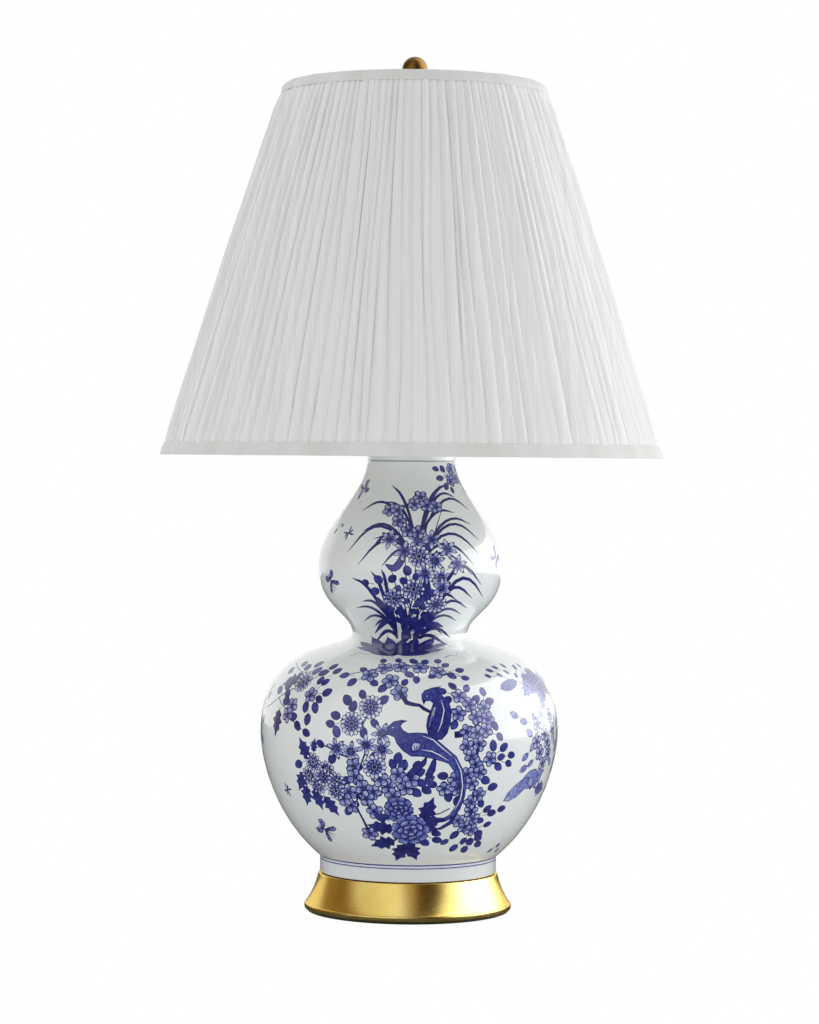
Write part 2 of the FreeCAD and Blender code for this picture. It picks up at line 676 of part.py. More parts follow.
def make_terminal_screws():
    """Two screw heads on the sides of the phenolic block, one group in one node."""
    heads = []
    for side, turn in (("left", -90), ("right", 90)):
        head = DOC.addObject("Part::Cylinder", f"terminal_screw_{side}")
        head.setExpression("Radius", bound("terminal_screw_radius"))
        head.setExpression("Height", bound("terminal_reach - interior_radius"))
        head.Placement = FreeCAD.Placement(vector(0, 0, 0), FreeCAD.Rotation(vector(0, 1, 0), turn))
        sign = "-" if turn < 0 else ""
        head.setExpression("Placement.Base.x", bound(f"{sign}interior_radius"))
        heads.append(head)
    group = DOC.addObject("Part::Compound", "terminal_screws")
    group.Links = heads
    lift(group, "switch_level")


def make_switch():
    spindle = DOC.addObject("Part::Cylinder", "switch_spindle")
    spindle.setExpression("Radius", bound("spindle_radius"))
    reach = "shell_radius + spindle_reach"
    spindle.setExpression("Height", bound(f"{reach} - interior_radius + spindle_grip"))
    forward = FreeCAD.Rotation(vector(1, 0, 0), 90)
    spindle.Placement = FreeCAD.Placement(vector(0, 0, 0), forward)
    spindle.setExpression("Placement.Base.y", bound("spindle_grip - interior_radius"))
    lift(spindle, "switch_level")

    knob = new_body("switch_knob")
    face = "shell_radius + knob_gap"
    disc = new_sketch(knob, "knob_circle", "XZ_Plane", face)
    draw_circle(disc, "0", "0", "knob_radius")
    pad(knob, "knob_barrel", disc, "knob_length")
    flute_circle = new_sketch(knob, "knob_flute_circle", "XZ_Plane", face)
    draw_circle(flute_circle, "0", "knob_radius", "knob_flute_radius")
    flute = cut_out(knob, "knob_flute", flute_circle, "knob_length", reversed_way=True)
    flutes = knob.newObject("PartDesign::PolarPattern", "knob_flutes")
    flutes.Originals = [flute]
    flutes.Axis = (flute_circle, ["N_Axis"])
    flutes.Angle = 360
    flutes.setExpression("Occurrences", bound("knob_flute_count"))
    knob.Tip = flutes
    DOC.recompute()
    bore = new_sketch(knob, "knob_bore_circle", "XZ_Plane", face)
    draw_circle(bore, "0", "0", "spindle_radius")
    cut_out(knob, "knob_bore", bore, "spindle_reach - knob_gap", reversed_way=True)
    lift(knob, "switch_level")


def make_socket_group():
    make_socket_cap()
    make_set_screw()
    make_socket_sleeves()
    make_socket_interior()
    tube("screw_shell", "interior_top", "screw_radius", "screw_bore", "screw_shell_height")
    contact = [
        ("0", "0"),
        ("contact_radius", "0"),
        ("contact_radius / 2", "contact_height"),
        ("0", "contact_height"),
    ]
    turned("centre_contact", "interior_top", contact)
    make_terminal_screws()
    make_switch()


# ---- lamp bulb -------------------------------------------------------------------------------


def make_bulb():
    contact = [
        ("0", "0"),
        ("bulb_contact_radius / 2", "0"),
        ("bulb_contact_radius", "bulb_contact_height"),
        ("0", "bulb_contact_height"),
    ]
    turned("bulb_contact", "contact_top", contact)
    insulator = [
        ("0", "0"),
        ("bulb_contact_radius", "0"),
        ("bulb_glass_radius", "bulb_glass_height"),
        ("0", "bulb_glass_height"),
    ]
    turned("bulb_insulator", "glass_base", insulator)
    cap_bore = "bulb_cap_radius - bulb_cap_metal"
    cap = [
        ("0", "0"),
        ("bulb_glass_radius", "0"),
        ("bulb_cap_radius", "bulb_cap_radius - bulb_glass_radius"),
        ("bulb_cap_radius", "bulb_cap_height"),
        (cap_bore, "bulb_cap_height"),
        (cap_bore, "bulb_cap_radius - bulb_glass_radius + bulb_cap_metal"),
        ("bulb_glass_radius", "bulb_cap_metal"),
        ("0", "bulb_cap_metal"),
    ]
    turned("bulb_screw_cap", "bulb_cap_base", cap)
    body_bore = "bulb_body_radius - bulb_wall"
    housing = [
        ("0", "0"),
        ("bulb_cap_radius", "0"),
        ("bulb_body_radius", "bulb_body_height"),
        (body_bore, "bulb_body_height"),
        ("bulb_cap_radius - bulb_wall", "bulb_wall"),
        ("0", "bulb_wall"),
    ]
    turned("bulb_body", "bulb_body_base", housing)
    centre = "sqrt(globe_radius ^ 2 - bulb_body_radius ^ 2)"
    inner_radius = "globe_radius - bulb_wall"
    mouth = f"sqrt(({inner_radius}) ^ 2 - ({centre}) ^ 2)"
    globe = [
        (mouth, "0"),
        ("bulb_body_radius", "0", "globe_radius", 1),
        ("globe_radius", centre, "globe_radius", 1),
        ("0", f"{centre} + globe_radius"),
        ("0", f"{centre} + {inner_radius}", inner_radius, -1),
        (inner_radius, centre, inner_radius, -1),
    ]
    turned("bulb_globe", "globe_base", globe)


# ---- harp ------------------------------------------------------------------------------------


def turn_point(centre_x, centre_z, radius, degrees):
    angle = math.radians(degrees)
    return vector(centre_x + radius * math.cos(angle), 0, centre_z + radius * math.sin(angle))


def harp_side():
    """One side of the harp, foot to top, as straight runs joined by tangent arcs."""
    foot, span, height = (number(f"harp_{name}") for name in ("foot_span", "span", "height"))
    foot_straight, sweep, side_straight, top_straight, top_radius = (
        number(f"harp_{name}")
        for name in ("foot_straight", "sweep_height", "side_straight", "top_straight", "top_radius")
    )
    spread = 2 * math.degrees(math.atan2(span - foot, sweep))
    sweep_radius = sweep / 2 / math.sin(math.radians(spread))
    sweep_top = foot_straight + sweep
    side_top = sweep_top + side_straight
    run_in = span - top_straight - top_radius
    run_up = height - side_top - top_radius
    lean = 2 * math.degrees(math.atan2(run_in, run_up))
    side_radius = top_radius + run_up / math.sin(math.radians(lean))
    # The legs spread along two equal arcs, and the crown is a large arc and a small one.
    sweep_out = (foot + sweep_radius, foot_straight, sweep_radius)
    sweep_in = (span - sweep_radius, sweep_top, sweep_radius)
    crown_side = (span - side_radius, side_top, side_radius)
    crown_top = (top_straight, height - top_radius, top_radius)
    points = [vector(foot, 0, 0), turn_point(*sweep_out, 180)]
    edges = [Part.LineSegment(*points).toShape()]
    arcs = (
        (sweep_out, 180, 180 - spread),
        (sweep_in, -spread, 0),
        (crown_side, 0, lean),
        (crown_top, lean, 90),
    )
    for index, (circle, start, end) in enumerate(arcs):
        if index == 2:
            ends = (turn_point(*sweep_in, 0), turn_point(*crown_side, 0))
            edges.append(Part.LineSegment(*ends).toShape())
        ways = [turn_point(*circle, angle) for angle in (start, (start + end) / 2, end)]
        edges.append(Part.Arc(*ways).toShape())
    edges.append(Part.LineSegment(turn_point(*crown_top, 90), vector(0, 0, height)).toShape())
    return edges


def make_harp_wire():
    path = Part.Wire(harp_side())
    radius = number("harp_wire_radius")
    section = Part.Wire(Part.makeCircle(radius, vector(number("harp_foot_span"), 0, 0)))
    right = path.makePipeShell([section], True, True)
    left = right.mirror(vector(0, 0, 0), vector(1, 0, 0))
    expected = 2 * path.Length * math.pi * radius**2
    shape = right.fuse(left).removeSplitter()
    assert abs(shape.Volume / expected - 1) < VOLUME_SLACK, "the harp's wire has lost volume"
    harp = DOC.addObject("Part::Feature", "harp_wire")
    harp.Shape = shape.Solids[0]
    stand(harp, "harp_base")


def make_harp_boss():
    """The boss is crimped round the top wire and ends in the finial's stud."""
    boss_height = "2 * (harp_wire_radius + boss_wall)"
    corners = [
        ("0", "0"),
        ("boss_radius", "0"),
        ("boss_radius", boss_height),
        ("stud_radius", boss_height),
        ("stud_radius", f"{boss_height} + stud_height"),
        ("0", f"{boss_height} + stud_height"),
    ]
    body = turned("harp_boss", "boss_base", corners)
    sketch = new_sketch(body, "boss_wire_circle", "YZ_Plane", "-boss_radius")
    draw_circle(sketch, "0", "boss_wall + harp_wire_radius", "harp_wire_radius")
    cut_out(body, "boss_wire_hole", sketch, "2 * boss_radius", reversed_way=True)


def make_harp_group():
    make_harp_wire()
    make_harp_boss()
    for side, sign in (("left", "-"), ("right", "")):
        label = f"ferrule_{side}"
        ferrule = tube(label, "ear_top", "ferrule_radius", "ferrule_bore", "ferrule_length")
        ferrule.setExpression("Placement.Base.x", bound(f"{sign}harp_foot_span"))


# ---- shade and finial ------------------------------------------------------------------------


def cone_radius(inset, height):
    """Radius of the shade at a height over its bottom edge, drawn in by inset."""
    return f"shade_bottom_radius - ({inset}) - ({height}) * shade_slope"


def cone_shell(label, inset, thickness, low, high):
    """A turned shell that follows the shade's side between two heights."""
    deeper = f"{inset} + {thickness}"
    corners = [
        (cone_radius(deeper, low), low),
        (cone_radius(inset, low), low),
        (cone_radius(inset, high), high),
        (cone_radius(deeper, high), high),
    ]
    return turned(label, "shade_base", corners)


def make_trim(label, edge, lip, tape_end):
    """Bias tape: it covers the outside from the edge to tape_end and turns in over the edge."""
    inside = "liner_inset + liner_thickness"
    corners = [
        (cone_radius(inside, edge), edge),
        (cone_radius("0", edge), edge),
        (cone_radius("0", tape_end), tape_end),
        (cone_radius("trim_thickness", tape_end), tape_end),
        (cone_radius("trim_thickness", lip), lip),
        (cone_radius(inside, lip), lip),
    ]
    turned(label, "shade_base", corners)


def make_ring(label, height):
    ring = DOC.addObject("Part::Torus", label)
    ring.setExpression("Radius1", bound(cone_radius("ring_inset", height)))
    ring.setExpression("Radius2", bound("ring_wire_radius"))
    lift(ring, f"shade_base + {height}")


def pleat_wire(radius, depth, height):
    """One edge of the pleated cloth: each pleat is a flat band and a narrow ridge."""
    count = int(number("pleat_count"))
    band = number("pleat_band_share")
    places = []
    for pleat in range(count):
        for share, reach in ((0, -depth), (band, -depth), ((1 + band) / 2, 0)):
            angle = 2 * math.pi * (pleat + share) / count
            reached = radius + reach
            places.append(vector(reached * math.cos(angle), reached * math.sin(angle), height))
    return Part.makePolygon(places + [places[0]])


def make_pleats():
    """Pleated cloth between the two tape lips, flat facets outside and against the liner."""
    low, high = number("trim_thickness"), number("shade_height - trim_thickness")
    radii = [number(cone_radius("pleat_inset", str(height))) for height in (low, high)]
    depths = [number("pleat_depth") * radius / radii[0] for radius in radii]
    cloth = number("cloth_thickness")
    wires = [pleat_wire(radius, depth, height) for radius, depth, height in zip(radii, depths, (low, high))]
    inner = [radius - depth - cloth for radius, depth in zip(radii, depths)]
    linings = [pleat_wire(radius, 0, height) for radius, height in zip(inner, (low, high))]
    pleats = DOC.addObject("Part::Feature", "shade_pleats")
    pleats.Shape = Part.makeLoft(wires, True, True).cut(Part.makeLoft(linings, True, True))
    stand(pleats, "shade_base")


def make_spider():
    """A washer on the harp's boss and arms that are welded to the top ring."""
    ring_level = number("shade_height - ring_edge_inset + shade_base - shade_seat")
    ring_radius = number(cone_radius("ring_inset", "shade_height - ring_edge_inset"))
    thickness = number("spider_washer_thickness")
    hole = number("stud_radius + spider_hole_clearance")
    washer_radius = number("spider_washer_radius")
    arm_radius = number("spider_arm_radius")
    count = int(number("spider_arm_count"))
    shape = Part.makeCylinder(washer_radius, thickness)
    start = vector(washer_radius - arm_radius, 0, thickness / 2)
    reach = vector(ring_radius, 0, ring_level) - start
    arm = Part.makeCylinder(arm_radius, reach.Length, start, reach)
    for index in range(count):
        copy = arm.copy()
        copy.rotate(vector(0, 0, 0), vector(0, 0, 1), 90 + 360 * index / count)
        shape = shape.fuse(copy)
    shape = shape.cut(Part.makeCylinder(hole, 4 * thickness, vector(0, 0, -thickness)))
    ring = Part.makeTorus(ring_radius, number("ring_wire_radius"), vector(0, 0, ring_level))
    spider = DOC.addObject("Part::Feature", "shade_spider")
    spider.Shape = shape.cut(ring).removeSplitter().Solids[0]
    stand(spider, "shade_seat")


def make_finial():
    ball_level = "finial_height - finial_ball_radius"
    neck_top = f"{ball_level} - sqrt(finial_ball_radius ^ 2 - finial_neck_radius ^ 2)"
    ball = "finial_ball_radius"
    corners = [
        ("finial_bore", "0"),
        ("finial_flange_radius", "0"),
        ("finial_flange_radius", "finial_flange_height"),
        ("finial_neck_radius", "2 * finial_flange_height"),
        ("finial_neck_radius", neck_top, ball, 1),
        (ball, ball_level, ball, 1),
        ("0", "finial_height"),
        ("0", "stud_height"),
        ("finial_bore", "stud_height"),
    ]
    turned("finial", "finial_base", corners)


def make_shade_group():
    make_ring("shade_top_ring", "shade_height - ring_edge_inset")
    make_ring("shade_bottom_ring", "ring_edge_inset")
    make_spider()
    liner_top = "shade_height - trim_thickness"
    cone_shell("shade_liner", "liner_inset", "liner_thickness", "trim_thickness", liner_top)
    make_pleats()
    make_trim("shade_bottom_trim", "0", "trim_thickness", "bottom_trim_height")
    tape_end = "shade_height - top_trim_height"
    make_trim("shade_top_trim", "shade_height", liner_top, tape_end)


# ---- the whole lamp --------------------------------------------------------------------------

NODES = (
    "felt_pad",
    "base_plinth",
    "cord_bushing",
    "base_nut",
    "base_washer",
    "foot_gasket",
    "lamp_pipe",
    "gourd_body",
    "cap_gasket",
    "vase_cap",
    "neck_spacer",
    "harp_saddle",
    "lock_nut",
    "socket_cap",
    "set_screw",
    "socket_shell",
    "insulating_sleeve",
    "socket_interior",
    "screw_shell",
    "centre_contact",
    "terminal_screws",
    "switch_spindle",
    "switch_knob",
    "bulb_contact",
    "bulb_insulator",
    "bulb_screw_cap",
    "bulb_body",
    "bulb_globe",
    "harp_wire",
    "harp_boss",
    "ferrule_left",
    "ferrule_right",
    "shade_top_ring",
    "shade_bottom_ring",
    "shade_spider",
    "shade_liner",
    "shade_pleats",
    "shade_bottom_trim",
    "shade_top_trim",
    "finial",
)


def write_parts():
    """Checks every object and every sub-part, then writes one STEP file for each sub-part."""
    DOC.recompute()
    for item in DOC.Objects:
        failed = {"Invalid", "Error"} & set(item.State)
        assert not failed, f"{item.Label} is {failed}"
    pieces = {item.Label: item for item in DOC.Objects}
    for node in NODES:
        shape = pieces[node].Shape
        assert not shape.isNull() and shape.isValid(), f"{node} has no valid shape"
        assert shape.Solids, f"{node} has no solid"
    os.makedirs("parts", exist_ok=True)
    for node in NODES:
        pieces[node].Shape.exportStep(f"parts/{node}.step")


make_plinth_group()
make_gourd()
make_neck_group()
make_socket_group()
make_bulb()
make_harp_group()
make_shade_group()
make_finial()
write_parts()
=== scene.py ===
import cmath
import json
import math
import random

import bmesh
import bpy
import numpy as np
from mathutils import Matrix, Vector
from mathutils.geometry import delaunay_2d_cdt


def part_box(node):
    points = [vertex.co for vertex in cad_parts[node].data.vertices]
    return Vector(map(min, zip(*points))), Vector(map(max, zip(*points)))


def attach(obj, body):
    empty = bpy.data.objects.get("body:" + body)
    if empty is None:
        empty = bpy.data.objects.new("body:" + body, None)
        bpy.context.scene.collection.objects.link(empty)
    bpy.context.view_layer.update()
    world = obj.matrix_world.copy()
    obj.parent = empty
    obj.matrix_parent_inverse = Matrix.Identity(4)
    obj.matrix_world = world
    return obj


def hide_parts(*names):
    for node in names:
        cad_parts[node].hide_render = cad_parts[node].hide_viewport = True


bl_info = {
    "name": "Double gourd table lamp",
    "version": (1, 0, 0),
    "blender": (4, 5, 0),
    "location": "View3D > Sidebar > Lamp",
    "description": "Porcelain table lamp with a painted double gourd, a gilded plinth and a pleated shade",
    "category": "Add Mesh",
}

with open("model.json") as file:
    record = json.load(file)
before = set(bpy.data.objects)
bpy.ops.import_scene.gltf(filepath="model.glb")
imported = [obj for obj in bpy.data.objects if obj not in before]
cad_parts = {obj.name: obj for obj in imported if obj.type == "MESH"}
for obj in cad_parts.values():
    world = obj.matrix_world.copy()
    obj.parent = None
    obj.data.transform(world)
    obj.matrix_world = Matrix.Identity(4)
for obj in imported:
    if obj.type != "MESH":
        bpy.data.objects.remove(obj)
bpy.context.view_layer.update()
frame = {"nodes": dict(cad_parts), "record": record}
RECORD = frame["record"]
BODY_OF = {node: body for body, nodes in RECORD["behaviour"]["bodies"].items() for node in nodes}

# Pieces are worked out in millimetres and made in metres.
MM = 0.001
# Points of a mesh that are closer than this, in metres, are welded.
WELD = 1e-6
# An outline's point is on the lamp's axis when its radius is below this, in millimetres.
ON_AXIS = 1e-6
# Angles in degrees: smooth shading stops at an edge past the first, faces within the second are
# one face, and edges past the third are eased.
SHARP_ANGLE, FLAT_ANGLE, EASED_ANGLE = 35, 0.5, 40
# A screen's brightness curve: straight up to the knee, a power above it.
KNEE, STRAIGHT, OFFSET, POWER = 0.0404, 12.92, 0.055, 2.4


def in_mm(*sizes):
    """Sizes in metres, as millimetres."""
    return [size / MM for size in sizes]


def linear(red, green, blue):
    """A colour written as 0 to 255 on a screen, in the scene's linear light."""
    levels = []
    for channel in (red, green, blue):
        share = channel / 255
        curved = ((share + OFFSET) / (1 + OFFSET)) ** POWER
        levels.append(share / STRAIGHT if share < KNEE else curved)
    return tuple(levels)


# ---- node trees ----


class Value:
    """A number that changes over a piece; sums and products of it add Math nodes."""

    def __init__(self, nodes, socket):
        self.nodes = nodes
        self.socket = socket

    def join(self, operation, *others):
        return self.nodes.value("ShaderNodeMath", {"operation": operation}, dict(enumerate((self, *others))))

    def __add__(self, other):
        return self.join("ADD", other)

    __radd__ = __add__

    def __mul__(self, other):
        return self.join("MULTIPLY", other)

    __rmul__ = __mul__

    def __sub__(self, other):
        return self.join("SUBTRACT", other)

    def __rsub__(self, other):
        return self * -1 + other

    def __truediv__(self, other):
        return self.join("DIVIDE", other)

    def __abs__(self):
        return self.join("ABSOLUTE")

    def rise(self, low, high):
        """0 below low, 1 above high and a soft step between them."""
        sockets = {"Value": self, "From Min": low, "From Max": high}
        return self.nodes.value("ShaderNodeMapRange", {"interpolation_type": "SMOOTHSTEP"}, sockets)


class Nodes:
    """Adds nodes to one tree: of a material, of the world or of a modifier."""

    def __init__(self, tree):
        self.tree = tree

    def add(self, kind, settings=None, sockets=None):
        node = self.tree.nodes.new(kind)
        for name, setting in (settings or {}).items():
            if name == "stops":
                self.set_stops(node.color_ramp, setting)
            else:
                setattr(node, name, setting)
        for name, feed in (sockets or {}).items():
            socket = node.inputs[name]
            feed = feed.socket if isinstance(feed, Value) else feed
            if isinstance(feed, bpy.types.NodeSocket):
                self.tree.links.new(feed, socket)
            elif socket.type == "RGBA":
                socket.default_value = (*feed, 1)
            else:
                socket.default_value = feed
        return node

    def set_stops(self, ramp, stops):
        """Stops are (place, level) of a grey ramp."""
        ramp.interpolation = "EASE"
        for index, (place, level) in enumerate(stops):
            stop = ramp.elements[index] if index < 2 else ramp.elements.new(place)
            stop.position = place
            stop.color = (level, level, level, 1)

    def value(self, kind, settings=None, sockets=None, output=0):
        return Value(self, self.add(kind, settings, sockets).outputs[output])

    def parts(self, vector, *axes):
        """Parts of a vector, as values."""
        split = self.add("ShaderNodeSeparateXYZ", None, {0: vector})
        return [Value(self, split.outputs[axis]) for axis in axes]

    def vector(self, **parts):
        """A vector of its X, Y and Z."""
        return self.add("ShaderNodeCombineXYZ", None, parts).outputs[0]

    def mix(self, share, first, second):
        """A colour between two colours."""
        sockets = {0: share, 6: first, 7: second}
        return self.add("ShaderNodeMix", {"data_type": "RGBA"}, sockets).outputs[2]

    def noise(self, place, scale, detail):
        return self.value("ShaderNodeTexNoise", None, {"Vector": place, "Scale": scale, "Detail": detail})

    def stretched(self, place, scale):
        """Coordinates scaled by a different amount each way."""
        return self.add("ShaderNodeMapping", None, {"Vector": place, "Scale": scale}).outputs[0]

    def bump(self, height, distance, strength):
        sockets = {"Height": height, "Distance": distance, "Strength": strength}
        return self.add("ShaderNodeBump", None, sockets).outputs[0]


def new_material(name):
    """A material without nodes yet, and what adds them."""
    material = bpy.data.materials.new(name)
    material.use_nodes = True
    material.node_tree.nodes.clear()
    return material, Nodes(material.node_tree)


def new_finish(name, build, **fixed):
    """A material, made once; build gets its nodes and the object's own coordinates and returns what
    varies, and what is fixed goes straight onto the shader's sockets."""
    known = bpy.data.materials.get(name)
    if known:
        return known
    material, nodes = new_material(name)
    place = nodes.add("ShaderNodeTexCoord").outputs["Object"]
    sockets = {label.replace("_", " "): number for label, number in fixed.items()}
    sockets.update(build(nodes, place))
    shader = nodes.add("ShaderNodeBsdfPrincipled", None, sockets)
    nodes.add("ShaderNodeOutputMaterial", None, {"Surface": shader.outputs[0]})
    return material


def new_modifier_tree(name, inputs):
    """A modifier's tree with one named input for each size, and its inputs as values."""
    tree = bpy.data.node_groups.new(name, "GeometryNodeTree")
    tree.interface.new_socket("Geometry", in_out="INPUT", socket_type="NodeSocketGeometry")
    for label, size in inputs.items():
        kind = "NodeSocketInt" if isinstance(size, int) else "NodeSocketFloat"
        tree.interface.new_socket(label, in_out="INPUT", socket_type=kind)
    tree.interface.new_socket("Geometry", in_out="OUTPUT", socket_type="NodeSocketGeometry")
    nodes = Nodes(tree)
    way_in = nodes.add("NodeGroupInput")
    return nodes, way_in.outputs[0], {label: Value(nodes, way_in.outputs[label]) for label in inputs}


def end_tree(nodes, geometry, material):
    """The finished tree: real geometry with its material."""
    real = nodes.add("GeometryNodeRealizeInstances", None, {0: geometry}).outputs[0]
    finished = nodes.add("GeometryNodeSetMaterial", None, {"Geometry": real, "Material": material})
    nodes.add("NodeGroupOutput", None, {0: finished.outputs[0]})
    return nodes.tree


def new_object(name, data):
    """An object in the scene."""
    made = bpy.data.objects.new(name, data)
    bpy.context.scene.collection.objects.link(made)
    return made


def grown_mesh(name, tree, inputs, mesh):
    """The plain mesh that a modifier's tree makes of a mesh."""
    carrier = new_object(name, mesh)
    modifier = carrier.modifiers.new(name, "NODES")
    modifier.node_group = tree
    for item in tree.interface.items_tree:
        if item.in_out == "INPUT" and item.name in inputs:
            modifier[item.identifier] = inputs[item.name]
    return evaluated_mesh(carrier)


def evaluated_mesh(carrier):
    """The mesh of an object after its modifiers; the object itself goes."""
    graph = bpy.context.evaluated_depsgraph_get()
    mesh = bpy.data.meshes.new_from_object(carrier.evaluated_get(graph), depsgraph=graph)
    bpy.data.objects.remove(carrier)
    return mesh


# ---- meshes ----


def mesh_of(name, points, faces, edges=()):
    """A mesh of points in millimetres."""
    mesh = bpy.data.meshes.new(name)
    places = [(x * MM, y * MM, z * MM) for x, y, z in np.asarray(points, float).tolist()]
    mesh.from_pydata(places, list(edges), faces)
    mesh.update()
    return mesh


def piece(name, mesh, material, *nodes, crease=SHARP_ANGLE):
    """A finished object that rides with, and stands for, the solids it is named for. It is shaded
    smooth up to the crease, in degrees, or left as it is without one."""
    mesh.materials.clear()
    mesh.materials.append(material)
    if crease:
        mesh.shade_smooth()
        mesh.set_sharp_from_angle(angle=math.radians(crease))
    made = new_object(name, mesh)
    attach(made, BODY_OF[nodes[0]])
    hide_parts(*nodes)
    return made


def joined(name, *meshes):
    """One mesh of several, with what meets welded."""
    work = bmesh.new()
    for mesh in meshes:
        work.from_mesh(mesh)
    bmesh.ops.remove_doubles(work, verts=work.verts, dist=WELD)
    whole = bpy.data.meshes.new(name)
    work.to_mesh(whole)
    work.free()
    return whole


def rounded(corners, closed=True, steps=4):
    """An outline of (radius, height, rounding) corners with each corner eased by its rounding."""
    points = []
    count = len(corners)
    for index, (radius, height, rounding) in enumerate(corners):
        corner = complex(radius, height)
        at_end = not closed and index in (0, count - 1)
        if not rounding or at_end:
            points.append(corner)
            continue
        sides = []
        for other in (corners[index - 1], corners[(index + 1) % count]):
            side = complex(other[0], other[1]) - corner
            sides.append(side / abs(side) * min(rounding, 0.49 * abs(side)))
        for share in np.linspace(0, 1, steps + 1):
            points.append(corner + sides[0] * (1 - share) ** 2 + sides[1] * share**2)
    return [(point.real, point.imag) for point in points]


def around(radius, angle, height):
    """A point by its angle from the front, which grows towards the lamp's right."""
    return radius * math.sin(angle), -radius * math.cos(angle), height


def lathe(name, outline, columns=96, closed=True, reshape=None):
    """An outline of (radius, height), anticlockwise, turned about the lamp's axis.
    An open one may end on the axis. reshape moves (radius, angle, height) for what isn't round."""
    points, rings = [], []
    for radius, height in outline:
        if radius < ON_AXIS:
            rings.append([len(points)] * columns)
            points.append((0, 0, height))
            continue
        rings.append(list(range(len(points), len(points) + columns)))
        for column in range(columns):
            angle = 2 * math.pi * column / columns - math.pi
            reached, level = reshape(radius, angle, height) if reshape else (radius, height)
            points.append(around(reached, angle, level))
    faces = []
    pairs = zip(rings, rings[1:] + rings[:1]) if closed else zip(rings, rings[1:])
    for low, high in pairs:
        for column in range(columns):
            after = (column + 1) % columns
            face = [low[column], low[after], high[after], high[column]]
            faces.append(list(dict.fromkeys(face)))
    return mesh_of(name, points, [face for face in faces if len(face) > 2])


def eased_copy(node, width=0.25):
    """A solid's mesh with its doubles merged and its edges eased."""
    mesh = frame["nodes"][node].data.copy()
    work = bmesh.new()
    work.from_mesh(mesh)
    bmesh.ops.remove_doubles(work, verts=work.verts, dist=WELD)
    bmesh.ops.dissolve_limit(work, angle_limit=math.radians(FLAT_ANGLE), verts=work.verts, edges=work.edges)
    work.to_mesh(mesh)
    work.free()
    carrier = new_object(f"{node} eased", mesh)
    bevel = carrier.modifiers.new("eased edges", "BEVEL")
    bevel.width = width * MM
    bevel.segments = 2
    bevel.limit_method = "ANGLE"
    bevel.angle_limit = math.radians(EASED_ANGLE)
    bevel.use_clamp_overlap = True
    return evaluated_mesh(carrier)


# ---- wires and ribs, by node trees ----


def wire_tree(material):
    """Round wire along a path."""
    nodes, path, sizes = new_modifier_tree("wire along a path", {"Radius": 1.0})
    curve = nodes.add("GeometryNodeMeshToCurve", None, {"Mesh": path}).outputs[0]
    circle = nodes.add(
        "GeometryNodeCurvePrimitiveCircle", None, {"Resolution": 16, "Radius": sizes["Radius"]},
    )
    sockets = {"Curve": curve, "Profile Curve": circle.outputs[0], "Fill Caps": True}
    wire = nodes.add("GeometryNodeCurveToMesh", None, sockets).outputs[0]
    return end_tree(nodes, wire, material)


def wire(name, path, radius, material, closed=False):
    """Wire along (x, y, z) points."""
    count = len(path)
    edges = [(index, index + 1) for index in range(count - 1)] + ([(count - 1, 0)] if closed else [])
    return grown_mesh(name, wire_tree(material), {"Radius": radius * MM}, mesh_of(name, path, [], edges))


def repeat_tree(material):
    """A piece repeated round the lamp's axis."""
    nodes, geometry, sizes = new_modifier_tree("round the axis", {"Count": 3, "First angle": 0.0})
    points = nodes.add("GeometryNodePoints", None, {"Count": sizes["Count"]}).outputs[0]
    index = nodes.value("GeometryNodeInputIndex")
    angle = index * math.tau / sizes["Count"] + sizes["First angle"]
    sockets = {"Points": points, "Instance": geometry, "Rotation": nodes.vector(Z=angle)}
    return end_tree(nodes, nodes.add("GeometryNodeInstanceOnPoints", None, sockets).outputs[0], material)


def repeated(name, mesh, count, first_angle, material):
    """The plain mesh of a piece repeated round the lamp's axis."""
    inputs = {"Count": count, "First angle": first_angle}
    return grown_mesh(name, repeat_tree(material), inputs, mesh)


# ---- finishes ----

# Height and half width of the two lines painted round the foot ring, in millimetres.
FOOT_LINES = ((47.6, 0.55), (44.9, 0.32))
# Gold stays golden where it is seen at a glancing angle.
GOLD_EDGE = (0.95, 0.70, 0.22)


def porcelain_finish(colours):
    """White glaze; tone is how much cobalt lies under it and rim how far the stroke's edge is."""

    def build(nodes, place):
        tone = nodes.value("ShaderNodeAttribute", {"attribute_name": "tone"}, output="Fac")
        rim = nodes.value("ShaderNodeAttribute", {"attribute_name": "rim"}, output="Fac")
        height = nodes.parts(place, "Z")[0] / MM
        brush = nodes.noise(place, 1100, 2)
        pool = nodes.noise(place, 330, 3)
        edge = 1 - (rim + (brush - 0.5) * 0.9).rise(0.7, 1.35)
        inside = tone + (brush - 0.5) * 0.42 + (pool - 0.5) * 0.5
        pigment = inside.join("MAXIMUM", edge * 0.94) * tone.rise(0.01, 0.03)
        for level, half in FOOT_LINES:
            line = 1 - abs(height - level + (pool - 0.5) * 0.5).rise(half, half + 0.25)
            pigment = pigment.join("MAXIMUM", line * 0.62)
        ground = nodes.mix(nodes.noise(place, 14, 2), colours.glaze, colours.glaze_shade)
        # A grey-green band painted along the neck's groove: painted shade in the groove.
        groove = 1 - abs(height - (GROOVE + 0.4)).rise(0.3, 0.7)
        ground = nodes.mix(groove * 0.75, ground, colours.groove)
        colour = nodes.mix(pigment.rise(0.02, 0.42), ground, colours.cobalt_wash)
        colour = nodes.mix(pigment.rise(0.30, 0.72), colour, colours.cobalt)
        colour = nodes.mix(pigment.rise(0.62, 1.0), colour, colours.cobalt_dark)
        peel = nodes.noise(place, 45, 3)
        return {
            "Base Color": colour,
            "Roughness": nodes.noise(place, 90, 2) * 0.10 + 0.24,
            "Normal": nodes.bump(peel, 0.00022, 0.55),
        }

    gloss = {"Coat_Weight": 1.0, "Coat_Roughness": 0.025, "Coat_IOR": 1.5, "Specular_IOR_Level": 0.3}
    return new_finish("glazed porcelain", build, **gloss)


